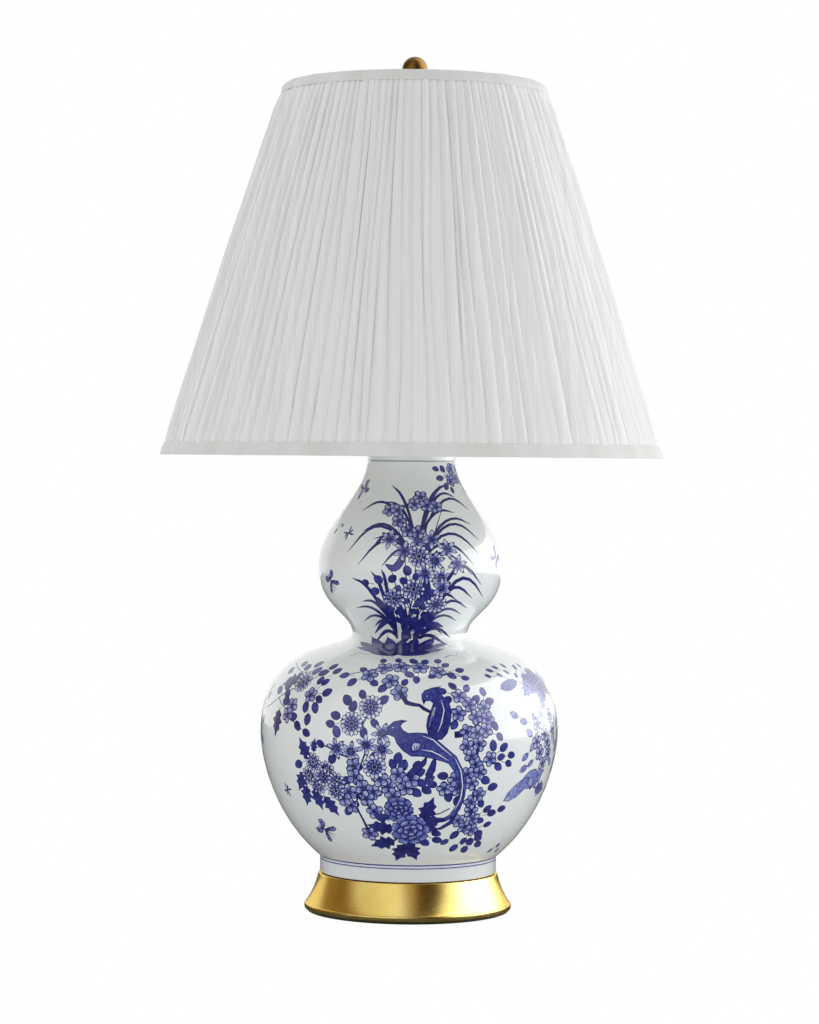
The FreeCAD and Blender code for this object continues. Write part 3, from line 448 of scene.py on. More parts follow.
def gold_leaf_finish(colours):
    """Leaf laid over a turned plinth: soft patches, fine grain and a satin gloss."""

    def build(nodes, place):
        patch = nodes.noise(place, 22, 3)
        grain = nodes.noise(nodes.stretched(place, (1, 1, 5)), 160, 4)
        colour = nodes.mix(patch.rise(0.3, 0.7), colours.gold, colours.gold_pale)
        colour = nodes.mix(grain.rise(0.58, 0.85) * 0.35, colour, colours.gold_deep)
        return {
            "Base Color": colour,
            "Roughness": grain * 0.12 + patch * 0.08 + 0.12,
            "Normal": nodes.bump(grain + patch * 2, 0.00012, 0.5),
        }

    gloss = {"Coat_Weight": 0.5, "Coat_Roughness": 0.2, "Specular_Tint": GOLD_EDGE}
    return new_finish("gold leaf", build, Metallic=1.0, **gloss)


def metal_finish(name, colour, dark, roughness, brushed=(1, 1, 1), grain_scale=260):
    """Worked metal: colour drifts to dark, with brushed or cast grain."""

    def build(nodes, place):
        cloud = nodes.noise(place, 55, 4)
        grain = nodes.noise(nodes.stretched(place, brushed), grain_scale, 3)
        return {
            "Base Color": nodes.mix((cloud * 0.7 + grain * 0.5).rise(0.45, 0.85), colour, dark),
            "Roughness": grain * 0.18 + cloud * 0.12 + (roughness - 0.13),
            "Normal": nodes.bump(grain, 0.00005, 0.5),
        }

    return new_finish(name, build, Metallic=1.0)


def plain_finish(name, colour, dark, roughness, scale, depth, **fixed):
    """Moulded, pressed or felted stuff: two close shades and a grain of its own."""

    def build(nodes, place):
        cloud = nodes.noise(place, scale / 6, 3)
        grain = nodes.noise(place, scale, 4)
        return {
            "Base Color": nodes.mix((cloud * 0.5 + grain * 0.5).rise(0.3, 0.7), colour, dark),
            "Roughness": grain * 0.16 + (roughness - 0.08),
            "Normal": nodes.bump(grain, depth * MM, 0.6),
        }

    return new_finish(name, build, **fixed)


def cloth_finish(name, colour, shade, striation):
    """Fine white cloth; its own coordinates run round the shade and up it, in metres."""

    def build(nodes, place):
        along = nodes.add("ShaderNodeUVMap", {"uv_map": "cloth"}).outputs[0]
        strand = nodes.noise(nodes.stretched(along, (striation, 3.5, 1)), 1, 3)
        weave = nodes.noise(nodes.stretched(along, (2600, 2600, 1)), 1, 1)
        return {
            # Strands that lie deeper in the bump are painted darker: painted shade between the strands.
            "Base Color": nodes.mix(strand.rise(0.36, 0.62), shade, colour),
            "Roughness": weave * 0.10 + 0.80,
            "Normal": nodes.bump(strand + weave * 0.25, 0.0004, 0.7),
        }

    return new_finish(name, build, Sheen_Weight=0.15, Sheen_Roughness=0.5, Specular_IOR_Level=0.25)


# ---- sizes and colours a user may change ----


def length(name, description, millimetres):
    """A size that a user may change."""
    return bpy.props.FloatProperty(
        name=name, description=description, default=millimetres * MM, unit="LENGTH", subtype="DISTANCE"
    )


def amount(name, description, default, **limits):
    """A plain number that a user may change."""
    return bpy.props.FloatProperty(name=name, description=description, default=default, **limits)


def colour(name, description, red, green, blue):
    """A colour that a user may change, given as on a screen."""
    return bpy.props.FloatVectorProperty(
        name=name, description=description, default=linear(red, green, blue), subtype="COLOR", min=0, max=1
    )


class LampPlinthSizes(bpy.types.PropertyGroup):
    foot_radius: length("Foot radius", "Outer edge of the plinth's foot", 89)
    top_radius: length("Top radius", "Outer edge of the plinth's top face", 77)
    lip_height: length("Lip height", "Upright lip at the plinth's foot", 4.5)
    sweep_radius: length("Sweep radius", "Hollow sweep between lip and top face", 70)


class LampGourdSizes(bpy.types.PropertyGroup):
    foot_radius: length("Foot radius", "Upright foot ring", 75.8)
    belly_radius: length("Lower bulb radius", "Widest point of the lower bulb", 128)
    waist_radius: length("Waist radius", "Waist between the bulbs", 49.5)
    shoulder_radius: length("Upper bulb radius", "Widest point of the upper bulb", 79.5)
    neck_radius: length("Neck radius", "Neck at the groove", 38)
    wall: length("Wall", "Wall of the two bulbs", 6.5)
    stroke: amount("Stroke", "Width of the drawn outlines, as a share", 1.3, min=0.3, max=3)


class LampShadeSizes(bpy.types.PropertyGroup):
    pleats: bpy.props.IntProperty(
        name="Pleats", description="Pleats round the shade", default=124, min=40, max=200,
    )
    depth: length("Pleat depth", "Height of a pleat's ridge at mid height", 4.0)
    bulge: length("Bulge", "Swelling of the cloth at mid height", 1.6)
    wander: amount("Wander", "How far pleats stray, as a share of a pleat", 1.4, min=0, max=3)
    fullness: amount("Fullness", "Width of the flat cloth against the bottom edge", 1.25, min=1, max=3)
    lap: amount("Lap", "Where the bottom tape's end laps over", math.radians(-5), subtype="ANGLE")


class LampHarpSizes(bpy.types.PropertyGroup):
    wire_radius: length("Wire radius", "The harp's wire", 1.6)
    foot_span: length("Foot span", "Feet from the lamp's axis", 36)
    span: length("Span", "Widest half of the harp", 57)
    height: length("Height", "Feet to the middle of the top wire", 250)
    foot_straight: length("Foot straight", "Straight leg above the feet", 18)
    sweep: length("Sweep", "Height over which the legs spread", 80)
    side_straight: length("Side straight", "Straight side", 66)
    top_straight: length("Top straight", "Straight top on each side of the axis", 6)
    top_radius: length("Top radius", "Bend beside the top", 40)


class LampColours(bpy.types.PropertyGroup):
    glaze: colour("Glaze", "White of the porcelain", 242, 246, 246)
    glaze_shade: colour("Glaze shade", "Thicker glaze", 235, 241, 241)
    # Groove is the grey-green painted shade along the neck's groove.
    groove: colour("Groove", "Glaze that pools in the neck's groove", 92, 128, 132)
    cobalt_wash: colour("Cobalt wash", "Thinnest blue", 114, 126, 198)
    cobalt: colour("Cobalt", "Blue of petals and leaves", 50, 60, 150)
    cobalt_dark: colour("Dark cobalt", "Blue of outlines and dark leaves", 20, 22, 94)
    gold: colour("Gold", "Gold leaf", 238, 207, 110)
    gold_pale: colour("Pale gold", "Thicker gold leaf", 245, 222, 142)
    gold_deep: colour("Deep gold", "Ground that shows in the leaf's grain", 206, 158, 58)
    cloth: colour("Cloth", "Pleated cloth", 243, 243, 242)
    # Cloth shade is painted shade on the strands that lie deeper.
    cloth_painted_shade: colour("Cloth shade", "Strands that lie deeper", 236, 236, 234)
    # The tape is the shade's own cloth; its darker colour is painted shade.
    tape: colour("Tape", "Bias tape round the shade's edges", 229, 229, 227)
    brass: colour("Brass", "Cap, spacer and socket", 222, 184, 104)
    aged_brass: colour("Aged brass", "Finial", 136, 104, 50)


class LampLight(bpy.types.PropertyGroup):
    key: amount("Key lamp", "Power of the lamp on the right", 13, min=0)
    fill: amount("Fill lamp", "Power of the low lamp in front", 7, min=0)
    ambient: amount("Ambient", "Level of the room's light", 0.79, min=0)


# ---- stage ----

PHOTO_HEIGHT = 1024
# Lens and sensor in millimetres; distances, heights and the floor in metres.
LENS, SENSOR = 104.3, 36
CAMERA_DISTANCE, CAMERA_HEIGHT = 2.560, 0.3916
# In pixels: how far the horizon stands above the picture's middle, and the lamp's axis right of it.
HORIZON_ABOVE, AXIS_RIGHT = 57, 2.0
# The picture leans a little, so the lamp's top stands further right than its foot.
LEAN = 0.5
FLOOR_RADIUS = 3.0
# The floor lies this far under the felt, so the two faces don't meet.
FLOOR_DROP = 0.0002
# How much more of the room's light comes from behind, and from the left, than from the middle.
FROM_BEHIND, FROM_LEFT = 0.30, 0.30
# Tint of the mirrored surroundings where they are dark.
WARM = (1, 0.52, 0.03)
# How bright the mirrored surroundings are, by direction: 0 is behind the lamp, 0.25 on its left,
# 0.5 in front and 0.75 on its right. They are dim on the left, dark just right of the front, as
# bright as windows on the right, and white behind and left of the front.
SURROUNDINGS = (
    (0.00, 1.0), (0.12, 1.0), (0.17, 0.30), (0.25, 0.20), (0.33, 0.75), (0.46, 1.0), (0.51, 0.45),
    (0.55, 0.05), (0.61, 0.06), (0.65, 1.2), (0.72, 3.6), (0.83, 3.9), (0.92, 1.1), (1.00, 1.0),
)


def build_world(light):
    """White to the camera, even light on the lamp, and the surroundings in what mirrors them."""
    world = bpy.data.worlds.new("studio")
    bpy.context.scene.world = world
    world.use_nodes = True
    world.node_tree.nodes.clear()
    nodes = Nodes(world.node_tree)
    way = nodes.add("ShaderNodeTexCoord").outputs["Generated"]
    side, depth = nodes.parts(way, "X", "Y")
    turn = side.join("ARCTAN2", depth * -1) / math.tau + 0.5
    ramp = nodes.add("ShaderNodeValToRGB", {"stops": SURROUNDINGS}, {0: turn})
    rays = nodes.add("ShaderNodeLightPath").outputs
    seen = Value(nodes, rays["Is Camera Ray"]).join("MAXIMUM", Value(nodes, rays["Is Transmission Ray"]))
    glossy = Value(nodes, rays["Is Glossy Ray"])
    mirrored = Value(nodes, ramp.outputs["Color"]) * glossy
    ambient = (1 - glossy) * light.ambient * (1 + depth * FROM_BEHIND - side * FROM_LEFT)
    strength = seen + (1 - seen) * (mirrored + ambient)
    # What is mirrored from the darker side of the room is warm.
    warmth = (1 - Value(nodes, ramp.outputs["Color"]).rise(0.0, 0.9)) * glossy
    colour = nodes.mix(warmth, (1, 1, 1), WARM)
    background = nodes.add("ShaderNodeBackground", None, {"Color": colour, "Strength": strength})
    nodes.add("ShaderNodeOutputWorld", None, {0: background.outputs[0]})


def floor_finish():
    """White floor: it keeps the lamp's faint shadow and melts into the white behind it."""
    material, nodes = new_material("white floor")
    place = nodes.add("ShaderNodeTexCoord").outputs["Object"]
    x, y = nodes.parts(place, "X", "Y")
    reach = (x * x + y * y).join("SQRT")
    seen = nodes.value("ShaderNodeLightPath", output="Is Camera Ray")
    # The camera sees mostly plain white; what is left of the floor's own shade keeps the shadow.
    cover = 0.97 + 0.03 * reach.rise(0.08, 0.2)
    mirrored = nodes.value("ShaderNodeLightPath", output="Is Glossy Ray")
    tint = nodes.mix(mirrored, linear(232, 232, 234), linear(100, 100, 100))
    diffuse = nodes.add("ShaderNodeBsdfDiffuse", None, {"Color": tint}).outputs[0]
    white = nodes.add("ShaderNodeEmission", None, {"Color": (1, 1, 1), "Strength": 1}).outputs[0]
    mixed = nodes.add("ShaderNodeMixShader", None, {0: seen * cover, 1: diffuse, 2: white}).outputs[0]
    nodes.add("ShaderNodeOutputMaterial", None, {0: mixed})
    return material


def area_lamp(name, place, aim, width, height, power):
    """A lamp with an oblong face, turned to what it is aimed at."""
    data = bpy.data.lights.new(name, "AREA")
    data.shape = "RECTANGLE"
    data.size, data.size_y = width, height
    data.energy = power
    lamp = new_object(name, data)
    lamp.location = place
    lamp.rotation_euler = (Vector(aim) - Vector(place)).to_track_quat("-Z", "Y").to_euler()
    return lamp


# Both lamps: name, place, what they are aimed at, width and height, in metres.
KEY_LAMP = ("window on the right", (1.75, 0.35, 0.75), (0, 0, 0.40), 1.1, 1.5)
FILL_LAMP = ("low front light", (0.75, -1.55, 0.02), (0, 0, 0.26), 1.4, 0.5)


def build_stage(light):
    """Floor, surroundings, lamps and the photograph's camera."""
    scene = bpy.context.scene
    floor = new_object("floor", lathe("floor", [(0, 0), (FLOOR_RADIUS / MM, 0)], 96, closed=False))
    floor.data.flip_normals()
    floor.data.materials.append(floor_finish())
    floor.location.z = -FLOOR_DROP
    build_world(light)
    lamps = (area_lamp(*KEY_LAMP, light.key), area_lamp(*FILL_LAMP, light.fill))
    for lamp in lamps:
        lamp.visible_glossy = False
    data = bpy.data.cameras.new("camera")
    data.lens, data.sensor_height, data.sensor_width = LENS, SENSOR, SENSOR
    data.sensor_fit = "VERTICAL"
    data.shift_x, data.shift_y = -AXIS_RIGHT / PHOTO_HEIGHT, -HORIZON_ABOVE / PHOTO_HEIGHT
    camera = new_object("camera", data)
    camera.location = (0, -CAMERA_DISTANCE, CAMERA_HEIGHT)
    camera.rotation_euler = (math.radians(90), math.radians(-LEAN), 0)
    scene.camera = camera
    scene.view_settings.view_transform = "Standard"


# ---- plinth ----

# The lip stands out past the sweep; the hollow below takes the nut, and the bore the pipe.
LIP_STEP, HOLLOW_RADIUS, HOLLOW_HEIGHT, PIPE_BORE = 1.2, 40, 14, 5.2
# Two drills from the back for the cord's bushing, as (radius, nearest, farthest), and their height.
CORD_DRILLS, CORD_HEIGHT = ((4.8, 30, 88), (6.45, 83, 96)), 11.4


def build_felt():
    """Felt disc under the plinth."""
    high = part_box("felt_pad")[1]
    radius, top = in_mm(high.x, high.z)
    outline = rounded([(0, 0, 0), (radius, 0, 0.5), (radius, top, 0.5), (0, top, 0)], closed=False)
    finish = plain_finish(
        "dark felt", linear(58, 62, 50), linear(34, 38, 30), 0.9, 900, 0.5, Sheen_Weight=0.3,
    )
    felt = piece("felt_disc", lathe("felt_disc", outline, 128, closed=False), finish, "felt_pad")


def build_plinth(sizes, colours):
    """Turned plinth with a lip, a hollow sweep, a hollow under it and a hole for the cord."""
    low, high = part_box("base_plinth")
    base, top = in_mm(low.z, high.z)
    foot, crown, lip = in_mm(sizes.foot_radius, sizes.top_radius, sizes.lip_height)
    start, end = complex(foot - LIP_STEP, base + lip), complex(crown, top)
    chord = end - start
    hollow = sizes.sweep_radius / MM
    centre = start + chord / 2 - 1j * chord / abs(chord) * math.sqrt(hollow**2 - abs(chord / 2) ** 2)
    first, last = (cmath.phase(spot - centre) % math.tau for spot in (start, end))
    sweep = [centre + cmath.rect(hollow, angle) for angle in np.linspace(first, last, 14)]
    corners = [
        (HOLLOW_RADIUS, base, 0.6), (foot, base, 0.8), (foot, base + lip, 1.4),
        (foot - LIP_STEP, base + lip, 0.3),
    ]
    corners += [(point.real, point.imag, 0) for point in sweep[1:-1]]
    corners += [(crown, top, 0.6), (PIPE_BORE, top, 0.2), (PIPE_BORE, base + HOLLOW_HEIGHT, 0.2)]
    corners += [(HOLLOW_RADIUS, base + HOLLOW_HEIGHT, 0.6)]
    carrier = new_object("gilded_plinth", lathe("gilded_plinth", rounded(corners), 160))
    to_the_back = Matrix.Translation((0, 0, CORD_HEIGHT * MM)) @ Matrix.Rotation(math.radians(-90), 4, "X")
    drills = []
    for radius, near, far in CORD_DRILLS:
        drill = lathe("drill", [(0, near), (radius, near), (radius, far), (0, far)], 48, closed=False)
        drill.transform(to_the_back)
        cutter = new_object("drill", drill)
        cut = carrier.modifiers.new("drill", "BOOLEAN")
        cut.operation, cut.solver, cut.object = "DIFFERENCE", "EXACT", cutter
        drills.append(cutter)
    drilled = evaluated_mesh(carrier)
    for cutter in drills:
        bpy.data.objects.remove(cutter)
    piece("gilded_plinth", drilled, gold_leaf_finish(colours), "base_plinth")


# ---- the gourd's side and what is painted on it ----

# Heights of the crease over the foot ring, of the lower bulb, the waist, the upper bulb and the
# groove in the neck.
CREASE, BELLY, WAIST, SHOULDER, GROOVE = 47.5, 153.0, 238.0, 296.0, 386.0
CREASE_RADIUS = 76.5
GROOVE_DEPTH, GROOVE_WIDTH = 0.7, 1.2
# The four curves between them. Handles are shares of a curve's rise: leaving its lower end and
# arriving at its upper one. The first curve leaves the crease at a slant, in degrees.
HANDLES = ((0.53, 0.16), (0.985, 0.19), (0.29, 0.64), (0.38, 0.30))
CREASE_SLANT = 40
CURVE_STEPS = 200
# Inside: the floor over the foot, its thickness, the foot ring's wall and the hole for the pipe.
FLOOR_HEIGHT, FLOOR_THICKNESS, FOOT_WALL, PIPE_HOLE = 16, 8, 9, 6.5
# The side is laid out flat as on a drum of this radius, cut open between the front's pattern and
# the back's.
DRUM = 80.0
COLUMNS, ROW_STEP = 176, 5.5
SEAM = math.tau * 45 / COLUMNS
# No paint comes closer than this to the side's two ends, in millimetres.
BLUE_ROOM = 0.8
BLADE_POINTS = 10
# Points of an outline that are closer than this are one point, in millimetres.
SHORTEST_STEP = 0.02
# The shader's rim is 0 on a stroke's edge and grows inwards to this.
FAR_INSIDE = 9.0
# How fast a petal's dark root gives way to its pale tip.
TONE_FALL = 2.2


class GourdSide:
    """The porcelain's side from crease to groove, by the length along it, or a side inset from it."""

    def __init__(self, sizes, inset=0.0):
        names = ("belly", "waist", "shoulder", "neck")
        radii = [CREASE_RADIUS, *(getattr(sizes, f"{name}_radius") / MM for name in names)]
        heights = [CREASE, BELLY, WAIST, SHOULDER, GROOVE]
        points = []
        for index, (leaving, arriving) in enumerate(HANDLES):
            lean = math.radians(CREASE_SLANT) if index == 0 else math.pi / 2
            start = complex(radii[index] - inset, heights[index])
            end = complex(radii[index + 1] - inset, heights[index + 1])
            rise = heights[index + 1] - heights[index]
            poles = (start, start + cmath.rect(leaving * rise, lean), end - 1j * arriving * rise, end)
            shares = np.linspace(0, 1, CURVE_STEPS + 1)[0 if index == 0 else 1 :]
            rest = 1 - shares
            weights = (rest**3, 3 * shares * rest**2, 3 * shares**2 * rest, shares**3)
            points.extend(sum(weight * pole for weight, pole in zip(weights, poles)))
        points = np.array(points)
        self.radii, self.heights = points.real, points.imag
        steps = np.abs(np.diff(points))
        self.lengths = np.concatenate([[0], np.cumsum(steps)])
        self.total = self.lengths[-1]
        along = np.gradient(points, self.lengths)
        self.out = along / 1j / np.abs(along)

    def radius(self, at):
        return np.interp(at, self.lengths, self.radii)

    def height(self, at):
        return np.interp(at, self.lengths, self.heights)

    def length_at(self, height):
        return float(np.interp(height, self.heights, self.lengths))

    def outward(self, at):
        """The way out of the side, as radius + i height."""
        out = np.interp(at, self.lengths, self.out.real) + 1j * np.interp(at, self.lengths, self.out.imag)
        return out / np.abs(out)


def rim_distance(points, outline):
    """Distance of each point from a closed outline, both as complex numbers."""
    starts, ends = outline, np.roll(outline, -1)
    sides = ends - starts
    room = points[:, None] - starts[None, :]
    share = np.clip((room * sides.conj()).real / np.maximum(np.abs(sides) ** 2, 1e-9), 0, 1)
    return np.abs(room - share * sides).min(axis=1)


class Painting:
    """Shapes painted on the side, in the order of the brush. A place is (degrees from the front,
    height); a shape is drawn round it in millimetres, with real numbers to the right."""

    def __init__(self, side, stroke):
        self.side = side
        self.stroke = stroke
        self.shapes = []
        self.chance = random.Random(11)
        self.carry(0, False)
        self.settle((0, BELLY))

    def carry(self, degrees, mirrored):
        """Everything after this is moved round the gourd by degrees, or mirrored as well."""
        self.carried = math.radians(degrees)
        self.hand = -1 if mirrored else 1

    def settle(self, place, turn=0.0, size=1.0):
        """What is drawn next goes round this place, turned by degrees and scaled."""
        self.angle = math.radians(place[0])
        self.base = self.side.length_at(place[1])
        self.spin = size * cmath.exp(1j * math.radians(turn))

    def span(self, start, end):
        """From one place to another in millimetres."""
        low, high = self.side.length_at(start[1]), self.side.length_at(end[1])
        radius = float(self.side.radius((low + high) / 2))
        return complex(math.radians(end[0] - start[0]) * radius, high - low)

    def lay(self, points):
        """Local millimetres to the flat layout."""
        places = np.asarray(points, complex) * self.spin
        lengths = np.clip(self.base + places.imag, BLUE_ROOM, self.side.total - BLUE_ROOM)
        angles = self.carried + self.hand * (self.angle + places.real / self.side.radius(lengths))
        angles = (angles - SEAM) % math.tau - math.tau + SEAM
        return angles * DRUM + 1j * lengths

    def shape(self, outline, heart, root_tone, tip_tone, root=0j, tip=None, line=0.42):
        """One closed shape. heart are points inside it, root and tip the ends of its shading. A shape
        that lies across the layout's cut isn't painted."""
        laid = self.lay(outline)
        if laid.real.max() - laid.real.min() > DRUM:
            return
        steps = laid - np.roll(laid, 1)
        laid = laid[np.abs(steps) > SHORTEST_STEP]
        if len(laid) < 3:
            return
        tip = outline[len(outline) // 2] if tip is None else tip
        ends = self.lay([root, tip])
        scale = float(self.side.radius(laid.imag.mean())) / DRUM
        inner = self.lay(heart) if len(heart) else np.array([])
        self.shapes.append((laid, inner, root_tone, tip_tone, ends, scale, line * self.stroke))

    # ---- strokes ----

    def ribbon(self, middle, widths, tone=0.95, line=0.42):
        """A stroke along points, as wide as widths say."""
        middle = np.asarray(middle, complex)
        ways = np.gradient(middle)
        ways = ways / np.maximum(np.abs(ways), 1e-9)
        reach = 1j * ways * np.asarray(widths) / 2
        outline = np.concatenate([middle + reach, (middle - reach)[::-1]])
        heart = middle[1:-1][np.asarray(widths)[1:-1] > 1.6]
        self.shape(outline, heart, tone, tone * 0.9, middle[0], middle[-1], line)

    def blade(self, start, end, arch, width, tone=0.92):
        """A blade of grass from one place to another; arch lifts its middle."""
        self.settle(start)
        span = self.span(start, end)
        shares = np.linspace(0, 1, BLADE_POINTS)
        middle = span * shares + 4j * arch * shares * (1 - shares) ** 1.25
        widths = width * np.interp(shares, (0, 0.25, 0.5, 0.75, 1), (0.45, 1.0, 1.05, 0.8, 0.12))
        self.ribbon(middle, widths, tone)

    def twig(self, places, width):
        """A knotty twig through places."""
        self.settle(places[0])
        middle = [0j]
        for before, after in zip(places, places[1:]):
            step = self.span(before, after)
            knot = self.chance.uniform(-0.06, 0.06) * 1j * step
            middle += [middle[-1] + step / 2 + knot, middle[-1] + step]
        taper = np.linspace(1, 0.45, len(middle))
        knots = np.array([self.chance.uniform(0.8, 1.3) for _ in middle])
        self.ribbon(middle, width * taper * knots, 0.97)

    # ---- flowers and leaves ----

    def each(self, draw, places, *style):
        """The same flower or leaf at several places."""
        for place in places:
            draw(place, *style)

    def dot(self, centre, radius, tone=1.0, count=6):
        """A small round spot."""
        ring = centre + radius * np.exp(1j * np.linspace(0, math.tau, count, endpoint=False))
        self.shape(ring, [centre], tone, tone, line=0.2)

    def plum(self, place, size, tone=0.27):
        """Five round petals, each dark at its root."""
        self.settle(place, self.chance.uniform(0, 72), size)
        for petal in range(5):
            way = cmath.rect(1, petal * math.tau / 5)
            lobe = 3.75 + 2.75 * np.exp(1j * np.radians([-130, -85, -40, 0, 40, 85, 130]))
            self.shape(np.append(lobe, 0.5) * way, [2.2 * way, 3.9 * way], 0.66, tone, 0, 5.4 * way, 0.62)
        self.dot(0j, 1.0)

    def mum(self, place, size, petals):
        """Long petals, white at their tips, round a dark heart."""
        self.settle(place, self.chance.uniform(0, 360), size)
        rings = ((petals, 9.2, 2.0, 0.06), (petals - 4, 5.8, 1.6, 0.16))
        for ring, (count, reach, width, tip) in enumerate(rings):
            for petal in range(count):
                way = cmath.rect(1, (petal + ring / 2) * math.tau / count)
                half = np.array([0.35j, 0.9j, 0.85j]) * width + np.array([0.3, 0.66, 0.9]) * reach
                outline = np.concatenate([half.conj(), [reach], half[::-1]])
                hearts = [0.62 * reach * way, 0.84 * reach * way]
                self.shape(outline * way, hearts, 1.0, tip, 0.3 * reach * way, reach * way, 0.44)
        self.dot(0j, 1.7, count=8)

    def lily(self, place, size):
        """Six pointed petals with a dark middle line."""
        self.settle(place, self.chance.uniform(0, 60), size)
        for petal in range(6):
            way = cmath.rect(1, petal * math.tau / 6)
            outline = np.array([0.3, 2.4+1.5j, 5.0+1.9j, 6.8+1.3j, 8.6, 6.8-1.3j, 5.0-1.9j, 2.4-1.5j])
            self.shape(outline * way, [2.6 * way, 5.2 * way], 0.85, 0.16, 0, 8.2 * way, 0.42)
            vein = np.array([0.6+0.2j, 5.8, 0.6-0.2j])
            self.shape(vein * way, [], 0.95, 0.9, 0, 5.8 * way, 0.3)
        self.dot(0j, 0.9)

    def peony(self, place, size):
        """Rings of lobed petals, dark between them."""
        self.settle(place, self.chance.uniform(0, 40), size)
        for count, out, lobe, tone in ((9, 8.6, 3.3, 0.28), (7, 5.5, 2.7, 0.20), (5, 2.7, 2.1, 0.12)):
            for petal in range(count):
                way = cmath.rect(1, (petal + out / 7) * math.tau / count)
                curl = out + lobe * np.exp(1j * np.radians([-140, -95, -50, -12, 12, 50, 95, 140]))
                curl[3:5] -= 0.35 * lobe
                self.shape(curl * way, [out * way], 0.95, tone, (out - lobe) * way, (out + lobe) * way, 0.5)
        self.dot(0j, 1.3)

    def leaf(self, place, turn, length=8.0, width=5.2, tone=0.86, point=0.0, rooted=False):
        """An oval leaf round its place, or rooted in it."""
        self.settle(place, turn)
        half = np.array([0.10+0.30j, 0.28+0.46j, 0.55+0.5j, 0.80+0.36j, 0.94 + (0.17 - point) * 1j])
        half = half.real * length + 1j * half.imag * width
        start = 0 if rooted else -length / 2
        outline = np.concatenate([[0], half.conj(), [length], half[::-1]]) + start
        heart = [start + 0.32 * length, start + 0.68 * length]
        self.shape(outline, heart, tone, tone * 0.78, start, start + length, 0.4)

    def lobed_leaf(self, place, turn, size, tone=0.85):
        """A leaf with seven pointed lobes and five veins."""
        self.settle(place, turn, size)
        side = np.array([0.4+0.5j, 2.0+3.2j, 3.6+2.4j, 5.4+4.8j, 6.8+2.7j, 9.0+3.4j, 10.2+1.4j])
        outline = np.concatenate([[-1.5], side.conj(), [13.5], side[::-1]]) - 6
        self.shape(outline, [-3, 0, 3.2], tone, tone * 0.85, -6, 7, 0.45)
        for tip in (6.3, -0.8+3.0j, -0.8-3.0j, 2.6+2.0j, 2.6-2.0j):
            self.shape([-3.4+0.18j, tip, -3.4-0.18j], [], 1.0, 1.0, line=0.25)

    def leaves(self, places, near, length, width, tone=0.86):
        """Leaves that point away from the flower nearest to them, each on a thin stalk."""
        for place in places:
            spans = [self.span(flower, place) for flower in near]
            span = min(spans, key=abs)
            turn = math.degrees(cmath.phase(span)) + self.chance.uniform(-22, 22)
            scale = self.chance.uniform(0.88, 1.12)
            self.settle(place)
            foot = -span * min(1.0, 9 / max(abs(span), 1))
            self.ribbon([foot, foot * 0.55 + 0.3, 0j], [0.5, 0.45, 0.4], 0.9)
            self.leaf(place, turn, length * scale, width * scale, tone * self.chance.uniform(0.9, 1.08))

    # ---- creatures ----

    def butterfly(self, place, turn, size):
        """Two pairs of wings on both sides of a body that lies along its turn."""
        self.settle(place, turn, size)
        fore = np.array([0.8+0.6j, 2.0+3.5j, 4.6+7.6j, 6.8+7.2j, 6.4+4.2j, 4.0+1.6j, 1.6+0.4j])
        hind = np.array([-0.4+0.6j, 0.2+3.0j, -0.8+5.6j, -3.2+6.4j, -5.2+4.4j, -4.0+2.0j, -1.6+0.5j])
        for wing, spot in ((hind, -2.6+4.0j), (fore, 4.6+5.4j)):
            for outline, centre in ((wing, spot), (wing.conj(), spot.conjugate())):
                self.shape(outline, [outline[1:-1].mean()], 0.95, 0.35, 0, centre * 1.3, 0.55)
                self.dot(centre, 1.0, 1.0)
        self.ribbon([-3.8, -1, 1.8, 4.2], [0.6, 1.6, 1.7, 0.7], 1.0)
        for feeler in (6.0+1.2j, 6.0-1.2j):
            self.ribbon([4+0j, feeler, feeler + 1.6], [0.4, 0.4, 0.4], 1.0)

    def fly(self, place, turn, size):
        """A small fly with its four wings spread."""
        self.settle(place, turn, size)
        for way in (2.4, -2.4, 0.9, -0.9):
            tip = cmath.rect(4.6, way)
            self.ribbon([0j, tip * 0.6, tip], [0.5, 1.3, 0.4], 0.75)
        self.ribbon([-4, -1, 2, 3.6], [0.5, 1.3, 1.2, 0.6], 1.0)

    def feathers(self, outline, step, lean):
        """Rows of small scales inside an outline; lean is the way that they point."""
        outline = np.asarray(outline, complex)
        way = cmath.rect(1, math.radians(lean))
        turned = outline / way
        rows = np.arange(turned.imag.min(), turned.imag.max(), step * 0.8)
        for row, across in enumerate(rows):
            for along in np.arange(turned.real.min() + step * 0.5 * (row % 2), turned.real.max(), step):
                spot = complex(along, across)
                reach = rim_distance(np.array([spot]), turned)[0]
                if reach > step * 0.55 and topmost(np.array([spot]), [turned])[0] == 0:
                    scale = np.array([-0.15+0.42j, 0.4, -0.15-0.42j]) * step
                    self.ribbon((spot + scale) * way, [0.2, 0.5, 0.2], 1.0)

